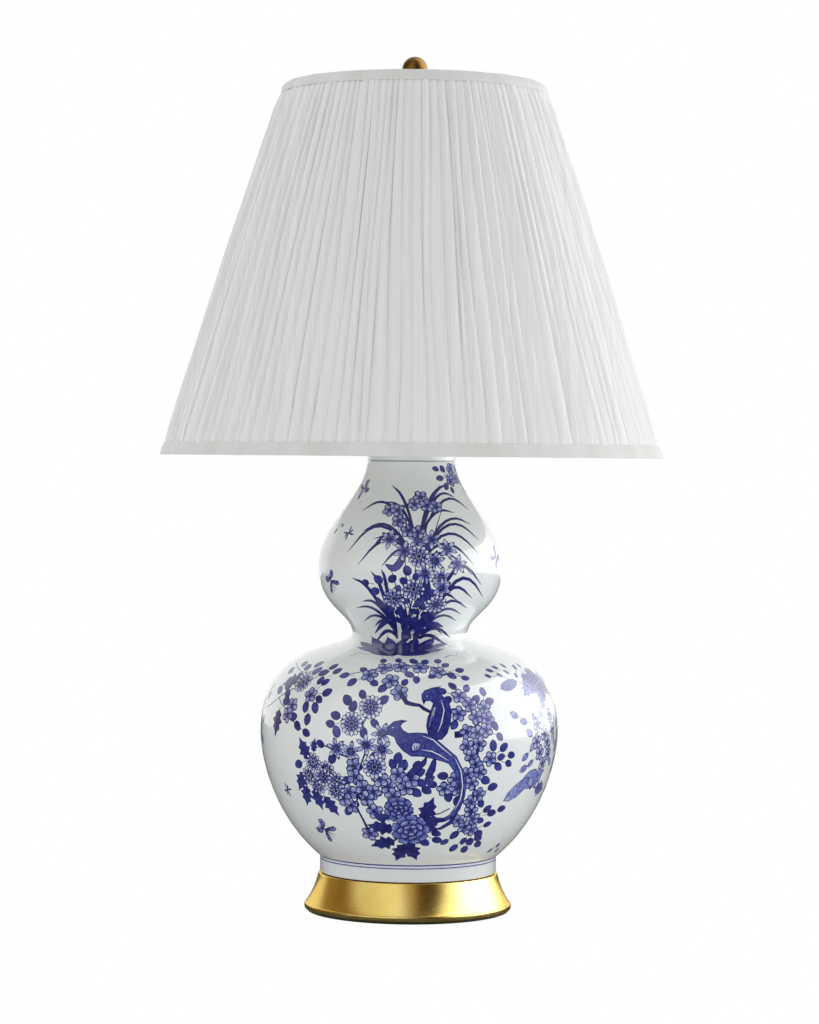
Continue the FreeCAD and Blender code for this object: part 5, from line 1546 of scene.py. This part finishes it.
def build_bulb():
    """Lamp bulb with a threaded cap, a ribbed body and a frosted globe."""
    steel = nickel_finish()
    glass = plain_finish("black glass", linear(26, 24, 26), linear(18, 16, 18), 0.25, 300, 0.02)
    white = plain_finish("white bulb body", linear(232, 232, 230), linear(222, 222, 220), 0.4, 260, 0.03)
    frost = plain_finish(
        "frosted globe", linear(240, 240, 238), linear(232, 232, 230), 0.5, 1400, 0.03, Subsurface_Weight=0.3
    )
    piece("eased_bulb_contact", eased_copy("bulb_contact", 0.15), steel, "bulb_contact")
    piece("eased_bulb_insulator", eased_copy("bulb_insulator", 0.15), glass, "bulb_insulator")
    low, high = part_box("bulb_screw_cap")
    bottom, top, radius = in_mm(low.z, high.z, high.x)
    outline = [(0, bottom + 0.2), (10, bottom), (radius, bottom + 3)]
    outline += column(radius, bottom + 3.3, top, 60)[:-1]
    outline += [(radius, top), (0, top)]
    cap = lathe("bulb_cap", outline, 48, closed=False, reshape=threaded(radius, bottom + 3, top - 1))
    piece("bulb_cap", cap, steel, "bulb_screw_cap")
    low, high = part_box("bulb_body")
    bottom, top, wide = in_mm(low.z, high.z, high.x)

    def ribbed(reach, angle, height):
        """Ribs that fade out towards both ends."""
        fade = math.sin(math.pi * min(1, max(0, (height - bottom - 3) / (top - bottom - 6))))
        return reach - (0.35 * fade * (1 + math.cos(BODY_RIBS * angle)) if reach > RIBS_FROM else 0), height

    start = complex(BODY_START, bottom)
    flank = complex(wide, top) - start
    outline = [(0, bottom), (BODY_START - 0.4, bottom)]
    for share in np.linspace(0.03, 0.97, 12):
        spot = start + flank * share
        outline.append((spot.real, spot.imag))
    outline += [(wide - 0.5, top), (0, top)]
    piece("ribbed_bulb_body", lathe("ribbed_bulb_body", outline, 240, False, ribbed), white, "bulb_body")
    low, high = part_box("bulb_globe")
    radius, bottom, top = in_mm(high.x, low.z, high.z)
    middle = top - radius
    start = math.asin((bottom - middle) / radius)
    dome = [cmath.rect(radius, angle) + 1j * middle for angle in np.linspace(start, math.pi / 2, 28)]
    outline = [(0, bottom)] + [(spot.real, spot.imag) for spot in dome[:-1]] + [(0, top)]
    piece("frosted_globe", lathe("frosted_globe", outline, 64, closed=False), frost, "bulb_globe")


# ---- harp ----

ARC_STEPS = 10


def arc(centre, radius, start, end):
    """Points of an arc, angles in degrees, without its first point."""
    angles = np.linspace(start, end, ARC_STEPS + 1)[1:]
    return [centre + cmath.rect(radius, math.radians(angle)) for angle in angles]


def harp_path(sizes):
    """One side of the harp from its foot up, as right + i up, in millimetres."""
    foot, span, height = (getattr(sizes, name) / MM for name in ("foot_span", "span", "height"))
    foot_straight, sweep = in_mm(sizes.foot_straight, sizes.sweep)
    side_straight, top_straight = in_mm(sizes.side_straight, sizes.top_straight)
    top_radius = sizes.top_radius / MM
    spread = 2 * math.degrees(math.atan2(span - foot, sweep))
    bend = sweep / 2 / math.sin(math.radians(spread))
    side_top = foot_straight + sweep + side_straight
    run_in, run_up = span - top_straight - top_radius, height - side_top - top_radius
    lean = 2 * math.degrees(math.atan2(run_in, run_up))
    side_radius = top_radius + run_up / math.sin(math.radians(lean))
    path = [complex(foot, 0), complex(foot, foot_straight / 2), complex(foot, foot_straight)]
    path += arc(complex(foot + bend, foot_straight), bend, 180, 180 - spread)
    path += arc(complex(span - bend, foot_straight + sweep), bend, -spread, 0)
    path += [complex(span, foot_straight + sweep + side_straight / 2), complex(span, side_top)]
    path += arc(complex(span - side_radius, side_top), side_radius, 0, lean)
    path += arc(complex(top_straight, height - top_radius), top_radius, lean, 90)
    return path


def build_harp(sizes, colours):
    """Bent wire, the boss with its stud, and the two ferrules that lock the feet."""
    nickel, brass = nickel_finish(), brass_finish(colours)
    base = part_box("harp_wire")[0].z / MM
    right = harp_path(sizes)
    path = [(-spot.real, 0, base + spot.imag) for spot in right]
    path += [(spot.real, 0, base + spot.imag) for spot in right[::-1]]
    radius = sizes.wire_radius / MM
    piece("bent_wire", wire("bent_wire", path, radius, nickel), nickel, "harp_wire")
    piece("eased_harp_boss", eased_copy("harp_boss", 0.2), nickel, "harp_boss")
    for node in ("ferrule_left", "ferrule_right"):
        low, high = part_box(node)
        outer, bottom, top = (high.x - low.x) / 2 / MM, low.z / MM, high.z / MM
        bore = radius + 0.25
        corners = [
            (bore, bottom, 0.15), (outer, bottom, 0.3), (outer, bottom + 3, 0.2),
            (outer - 0.4, bottom + 3.6, 0.2), (outer - 0.4, top - 1.2, 0.2), (outer, top - 0.8, 0.2),
            (outer, top, 0.3), (bore, top, 0.15),
        ]
        sleeve = lathe(node, rounded(corners), 32)
        sleeve.transform(Matrix.Translation(((low.x + high.x) / 2, 0, 0)))
        piece(f"turned_{node}", sleeve, brass, node)


# ---- shade ----


class ShadeCone:
    """The outer face of the shade's tapes."""

    def __init__(self):
        bottom_low, bottom_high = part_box("shade_bottom_trim")
        top_low, top_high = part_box("shade_top_trim")
        self.bottom, self.top = in_mm(bottom_low.z, top_high.z)
        self.wide = bottom_high.x / MM
        self.slope = (bottom_high.x - top_high.x) / (top_low.z - bottom_low.z)
        self.bottom_band, self.top_band = in_mm(bottom_high.z, top_low.z)

    def radius(self, height, inset=0.0):
        return self.wide - (height - self.bottom) * self.slope - inset


PLEAT_COLUMNS, PLEAT_ROWS = 8, 30
# Where the ridge stands across a pleat, and how sharply its sides fall to the creases.
RIDGE_PLACE, CREASE_POWER = 0.64, 2.4


def pleating_tree(material, inputs):
    """A flat grid rolled into pleated cloth whose pleats wander and vary in width and height."""
    nodes, _, sizes = new_modifier_tree("pleating", inputs)
    counts = {"Vertices X": sizes["Pleats"] * PLEAT_COLUMNS + 1, "Vertices Y": PLEAT_ROWS}
    grid = nodes.add("GeometryNodeMeshGrid", None, {"Size X": 1.0, "Size Y": 1.0, **counts}).outputs[0]
    spot = nodes.add("GeometryNodeInputPosition").outputs[0]
    along, up = (part + 0.5 for part in nodes.parts(spot, "X", "Y"))
    turn = (along - 0.5) * math.tau

    def drift(reach, climb):
        """Smooth noise that meets itself behind the shade, from -0.5 to 0.5."""
        way = nodes.vector(X=turn.join("SINE") * reach, Y=turn.join("COSINE") * reach, Z=up * climb)
        return nodes.noise(way, 1.0, 1.0) - 0.5

    stray = drift(3, 0.8) * 1.3 + drift(9, 1.0) * 0.9 + drift(24, 0.7) * 0.8
    angle = turn + stray * sizes["Wander"] * math.tau / sizes["Pleats"]
    part = (along * sizes["Pleats"] + 0.0001).join("FRACT")
    far = ((RIDGE_PLACE - part) / RIDGE_PLACE).join("MAXIMUM", (part - RIDGE_PLACE) / (1 - RIDGE_PLACE))
    ridge = 1 - far.join("POWER", CREASE_POWER)
    height = (0.72 + drift(20, 2.5) * 1.5).join("MAXIMUM", 0.15)
    ends = up.rise(0.0, 0.07) * (1 - up).rise(0.0, 0.07) * 0.84 + 0.16
    swell = up * (1 - up) * 4 * sizes["Bulge"]
    ripple = (drift(5, 3.0) + drift(40, 0.6) * 0.5) * sizes["Depth"] * 0.5 * ends
    inset = (1 - ends) * 1.2 * MM - 3.1 * MM
    cone = sizes["Bottom radius"] + (sizes["Top radius"] - sizes["Bottom radius"]) * up
    radius = cone + inset + swell + ridge * height * ends * sizes["Depth"] + ripple
    rise = sizes["Top"] - sizes["Bottom"]
    place = nodes.vector(
        X=angle.join("SINE") * radius,
        Y=angle.join("COSINE") * radius * -1,
        Z=sizes["Bottom"] + up * rise,
    )
    cloth = nodes.add("GeometryNodeSetPosition", None, {"Geometry": grid, "Position": place}).outputs[0]
    flat = nodes.vector(X=along * sizes["Bottom radius"] * math.tau, Y=up * rise)
    stored = {"Geometry": cloth, "Name": "cloth", "Value": flat}
    kept = {"data_type": "FLOAT2", "domain": "CORNER"}
    cloth = nodes.add("GeometryNodeStoreNamedAttribute", kept, stored).outputs[0]
    welded = nodes.add("GeometryNodeMergeByDistance", None, {"Geometry": cloth, "Distance": 1e-5}).outputs[0]
    return end_tree(nodes, welded, material)


def band_coordinates(mesh, around_radius):
    """Cloth coordinates in metres for a turned band, with its seam behind."""
    layer = mesh.uv_layers.new(name="cloth")
    for face in mesh.polygons:
        spots = [mesh.vertices[index].co for index in face.vertices]
        turns = [math.atan2(spot.x, -spot.y) for spot in spots]
        crosses = max(turns) - min(turns) > math.pi
        for corner, spot, turn in zip(face.loop_indices, spots, turns):
            turn += math.tau if crosses and turn < 0 else 0
            layer.data[corner].uv = (turn * around_radius, spot.z - math.hypot(spot.x, spot.y))


# The tape's thickness, how deep it is folded in over the edge, and how far its end lifts off
# where it laps over, fading within so many degrees.
TAPE_THICKNESS, FOLDED_IN = 1.2, 3.9
LAP_LIFT, LAP_FADE = 0.75, 9


def tape(name, cone, low, high, at_top, lap=None):
    """A bias tape folded over an edge of the shade; lap is the angle of its overlap, if it shows."""
    chance = random.Random(5)
    waves = []
    for _ in range(9):
        waves.append((chance.randint(9, 60), chance.uniform(0, math.tau), chance.uniform(0.03, 0.09)))

    def reshape(reach, angle, height):
        pucker = sum(depth * math.sin(count * angle + start) for count, start, depth in waves)
        if lap is not None:
            past = math.degrees(angle) - math.degrees(lap)
            pucker += LAP_LIFT * max(0.0, 1 - past / LAP_FADE) if past >= 0 else 0.0
        return reach + pucker, height + pucker * 0.25

    # Each corner's height, how far it lies inside the cone, and its rounding.
    middle, thick = (low + high) / 2, TAPE_THICKNESS
    if at_top:
        profile = [
            (low, 0.5, 0.3), (middle, -0.35, 2), (high - 2, 0.4, 1.5), (high, 1.9, 1.5),
            (high, FOLDED_IN, 0.5), (high - thick, FOLDED_IN - 0.3, 0.3), (high - thick, thick, 0.4),
            (low, thick, 0.4),
        ]
    else:
        profile = [
            (high, 0.5, 0.3), (high, thick, 0.2), (low + thick, thick, 0.4), (low + thick, FOLDED_IN, 0.3),
            (low, FOLDED_IN, 0.5), (low, 0.0, 0.9), (middle, -0.45, 2),
        ]
    corners = [(cone.radius(height, inset), height, rounding) for height, inset, rounding in profile]
    return lathe(name, rounded(corners, steps=3), 400, reshape=reshape)


# How far the stiff liner's two faces lie inside the cone.
LINER_OUTSIDE, LINER_INSIDE = 3.3, 3.9
RING_STEPS = 180
# The spider's washer and the radius of its arms' wire.
WASHER_HOLE, WASHER_RADIUS, WASHER_THICKNESS, ARM_RADIUS = 3.5, 11, 1.6, 1.5


def build_shade(sizes, colours):
    """Pleated cloth over a stiff liner, with rings, spider and taped edges."""
    cone = ShadeCone()
    cloth_stuff = cloth_finish("pleated cloth", colours.cloth, colours.cloth_painted_shade, 900)
    # The tape is painted darker than the cloth, and its deep strands darker still: painted shade.
    painted_shade_tape_stuff = cloth_finish("bias tape", colours.tape, linear(222, 222, 219), 36)
    white_wire = plain_finish(
        "white frame wire", linear(226, 226, 222), linear(208, 208, 204), 0.45, 300, 0.03,
    )
    low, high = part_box("shade_pleats")
    inputs = {
        "Pleats": sizes.pleats,
        "Bottom": low.z,
        "Top": high.z,
        "Bottom radius": cone.radius(low.z / MM) * MM,
        "Top radius": cone.radius(high.z / MM) * MM,
        "Depth": sizes.depth,
        "Bulge": sizes.bulge,
        "Wander": sizes.wander,
    }
    seed = mesh_of("pleated_cloth", [(0, 0, 0)], [])
    pleated = grown_mesh("pleated_cloth", pleating_tree(cloth_stuff, inputs), inputs, seed)
    cloth = piece("pleated_cloth", pleated, cloth_stuff, "shade_pleats", crease=60)
    for name, node, low, high, at_top, lap in (
        ("bottom_tape", "shade_bottom_trim", cone.bottom, cone.bottom_band, False, sizes.lap),
        ("top_tape", "shade_top_trim", cone.top_band, cone.top, True, None),
    ):
        mesh = tape(name, cone, low, high, at_top, lap)
        band_coordinates(mesh, cone.radius(low) * MM)
        piece(name, mesh, painted_shade_tape_stuff, node, crease=50)
    low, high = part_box("shade_liner")
    bottom, top = in_mm(low.z, high.z)
    outline = [
        (cone.radius(bottom, LINER_INSIDE), bottom), (cone.radius(bottom, LINER_OUTSIDE), bottom),
        (cone.radius(top, LINER_OUTSIDE), top), (cone.radius(top, LINER_INSIDE), top),
    ]
    liner_stuff = plain_finish("stiff liner", linear(236, 234, 226), linear(228, 226, 218), 0.6, 900, 0.06)
    piece("stiff_liner", lathe("stiff_liner", outline, 192), liner_stuff, "shade_liner")
    for node in ("shade_bottom_ring", "shade_top_ring"):
        low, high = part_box(node)
        radius = (high.z - low.z) / 2 / MM
        reach, level = high.x / MM - radius, (low.z + high.z) / 2 / MM
        path = [around(reach, math.tau * step / RING_STEPS, level) for step in range(RING_STEPS)]
        piece(f"wire_{node}", wire(node, path, radius, white_wire, closed=True), white_wire, node)
    low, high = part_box("shade_spider")
    seat = low.z / MM + 0.7
    ring_reach, ring_level = high.y / MM, high.z / MM - 1.5
    arm_path = [
        (8, 0, seat + 0.9), (14, 0, seat + 0.9), (17, 0, seat + 1.2),
        (ring_reach - 3, 0, ring_level - 0.4), (ring_reach - 0.6, 0, ring_level),
    ]
    arm = wire("arm", arm_path, ARM_RADIUS, white_wire)
    arms = repeated("arms", arm, 3, math.radians(90), white_wire)
    roof = seat + WASHER_THICKNESS
    corners = [
        (WASHER_HOLE, seat, 0.3), (WASHER_RADIUS, seat, 0.5), (WASHER_RADIUS, roof, 0.5),
        (WASHER_HOLE, roof, 0.3),
    ]
    washer = lathe("washer", rounded(corners), 64)
    piece("three_arm_spider", joined("three_arm_spider", arms, washer), white_wire, "shade_spider")
    slant = math.hypot(cone.top - cone.bottom, cone.radius(cone.bottom) - cone.radius(cone.top)) * MM
    width = math.tau * cone.radius(cone.bottom) * MM * sizes.fullness


# ---- finial ----


def build_finial(colours):
    """A turned ball on a waisted neck, tapped for the harp's stud."""
    neck, seat, bore = 4.8, 8.0, 3.2
    low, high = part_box("finial")
    bottom, top, ball = in_mm(low.z, high.z, high.x)
    middle = top - ball
    first = -math.acos(neck / ball)
    sphere = [cmath.rect(ball, angle) + 1j * middle for angle in np.linspace(first, math.pi / 2, 30)]
    corners = [
        (0, bottom + 9, 0), (bore, bottom + 9, 0), (bore, bottom, 0.2), (seat, bottom, 0.5),
        (seat, bottom + 2.4, 0.7), (neck + 0.6, bottom + 4.2, 1.5), (neck - 0.5, bottom + 7.5, 1.5),
        (neck + 0.9, bottom + 10.4, 0.5), (neck + 0.9, bottom + 11.4, 0.5),
    ]
    corners += [(spot.real, spot.imag, 0) for spot in sphere[:-1]] + [(0, top, 0)]
    metal = metal_finish("aged brass", colours.aged_brass, linear(92, 64, 30), 0.33, (1, 1, 3), 120)
    turned = lathe("turned_finial", rounded(corners, closed=False), 96, closed=False)
    piece("turned_finial", turned, metal, "finial")


# ---- add-on ----

GROUPS = {
    "lamp_plinth": LampPlinthSizes,
    "lamp_gourd": LampGourdSizes,
    "lamp_harp": LampHarpSizes,
    "lamp_shade": LampShadeSizes,
    "lamp_colours": LampColours,
    "lamp_light": LampLight,
}


class LAMP_OT_stage(bpy.types.Operator):
    """Set up the floor, the surroundings, the lamps and the camera"""

    bl_idname = "lamp.stage"
    bl_label = "Stage"

    def execute(self, context):
        build_stage(context.scene.lamp_light)
        return {"FINISHED"}


class LAMP_OT_plinth(bpy.types.Operator):
    """Make the gilded plinth and the felt under it"""

    bl_idname = "lamp.plinth"
    bl_label = "Plinth"

    def execute(self, context):
        build_felt()
        build_plinth(context.scene.lamp_plinth, context.scene.lamp_colours)
        return {"FINISHED"}


class LAMP_OT_gourd(bpy.types.Operator):
    """Make the porcelain double gourd and paint it"""

    bl_idname = "lamp.gourd"
    bl_label = "Gourd"

    def execute(self, context):
        build_gourd(context.scene.lamp_gourd, context.scene.lamp_colours)
        return {"FINISHED"}


class LAMP_OT_neck(bpy.types.Operator):
    """Make the pipe, nuts, cap, spacer and saddle"""

    bl_idname = "lamp.neck"
    bl_label = "Neck"

    def execute(self, context):
        build_neck(context.scene.lamp_colours)
        return {"FINISHED"}


class LAMP_OT_socket(bpy.types.Operator):
    """Make the socket with its switch"""

    bl_idname = "lamp.socket"
    bl_label = "Socket"

    def execute(self, context):
        build_socket(context.scene.lamp_colours)
        return {"FINISHED"}


class LAMP_OT_bulb(bpy.types.Operator):
    """Make the bulb"""

    bl_idname = "lamp.bulb"
    bl_label = "Bulb"

    def execute(self, context):
        build_bulb()
        return {"FINISHED"}


class LAMP_OT_harp(bpy.types.Operator):
    """Make the harp, its boss and its ferrules"""

    bl_idname = "lamp.harp"
    bl_label = "Harp"

    def execute(self, context):
        build_harp(context.scene.lamp_harp, context.scene.lamp_colours)
        return {"FINISHED"}


class LAMP_OT_shade(bpy.types.Operator):
    """Make the pleated shade with its frame"""

    bl_idname = "lamp.shade"
    bl_label = "Shade"

    def execute(self, context):
        build_shade(context.scene.lamp_shade, context.scene.lamp_colours)
        return {"FINISHED"}


class LAMP_OT_finial(bpy.types.Operator):
    """Make the ball finial"""

    bl_idname = "lamp.finial"
    bl_label = "Finial"

    def execute(self, context):
        build_finial(context.scene.lamp_colours)
        return {"FINISHED"}


OPERATORS = (
    LAMP_OT_stage, LAMP_OT_plinth, LAMP_OT_gourd, LAMP_OT_neck, LAMP_OT_socket, LAMP_OT_bulb,
    LAMP_OT_harp, LAMP_OT_shade, LAMP_OT_finial,
)


class LAMP_PT_sidebar(bpy.types.Panel):
    """Every piece of the lamp and the sizes that it is made from"""

    bl_idname = "LAMP_PT_sidebar"
    bl_label = "Lamp"
    bl_space_type = "VIEW_3D"
    bl_region_type = "UI"
    bl_category = "Lamp"

    def draw(self, context):
        for operator in OPERATORS:
            self.layout.operator(operator.bl_idname)
        for name, group in GROUPS.items():
            box = self.layout.box()
            for field in group.__annotations__:
                box.prop(getattr(context.scene, name), field)


def register():
    """Adds the panel, the operators and the sizes to Blender."""
    for kind in (*GROUPS.values(), *OPERATORS, LAMP_PT_sidebar):
        bpy.utils.register_class(kind)
    for name, group in GROUPS.items():
        setattr(bpy.types.Scene, name, bpy.props.PointerProperty(type=group))


def unregister():
    """Takes away what register adds."""
    for name in GROUPS:
        delattr(bpy.types.Scene, name)
    for kind in reversed((*GROUPS.values(), *OPERATORS, LAMP_PT_sidebar)):
        bpy.utils.unregister_class(kind)


def main():
    """Makes the whole lamp and its stage, operator by operator."""
    register()
    for operator in OPERATORS:
        group, name = operator.bl_idname.split(".")
        getattr(getattr(bpy.ops, group), name)()


if __name__ == "__main__":
    main()
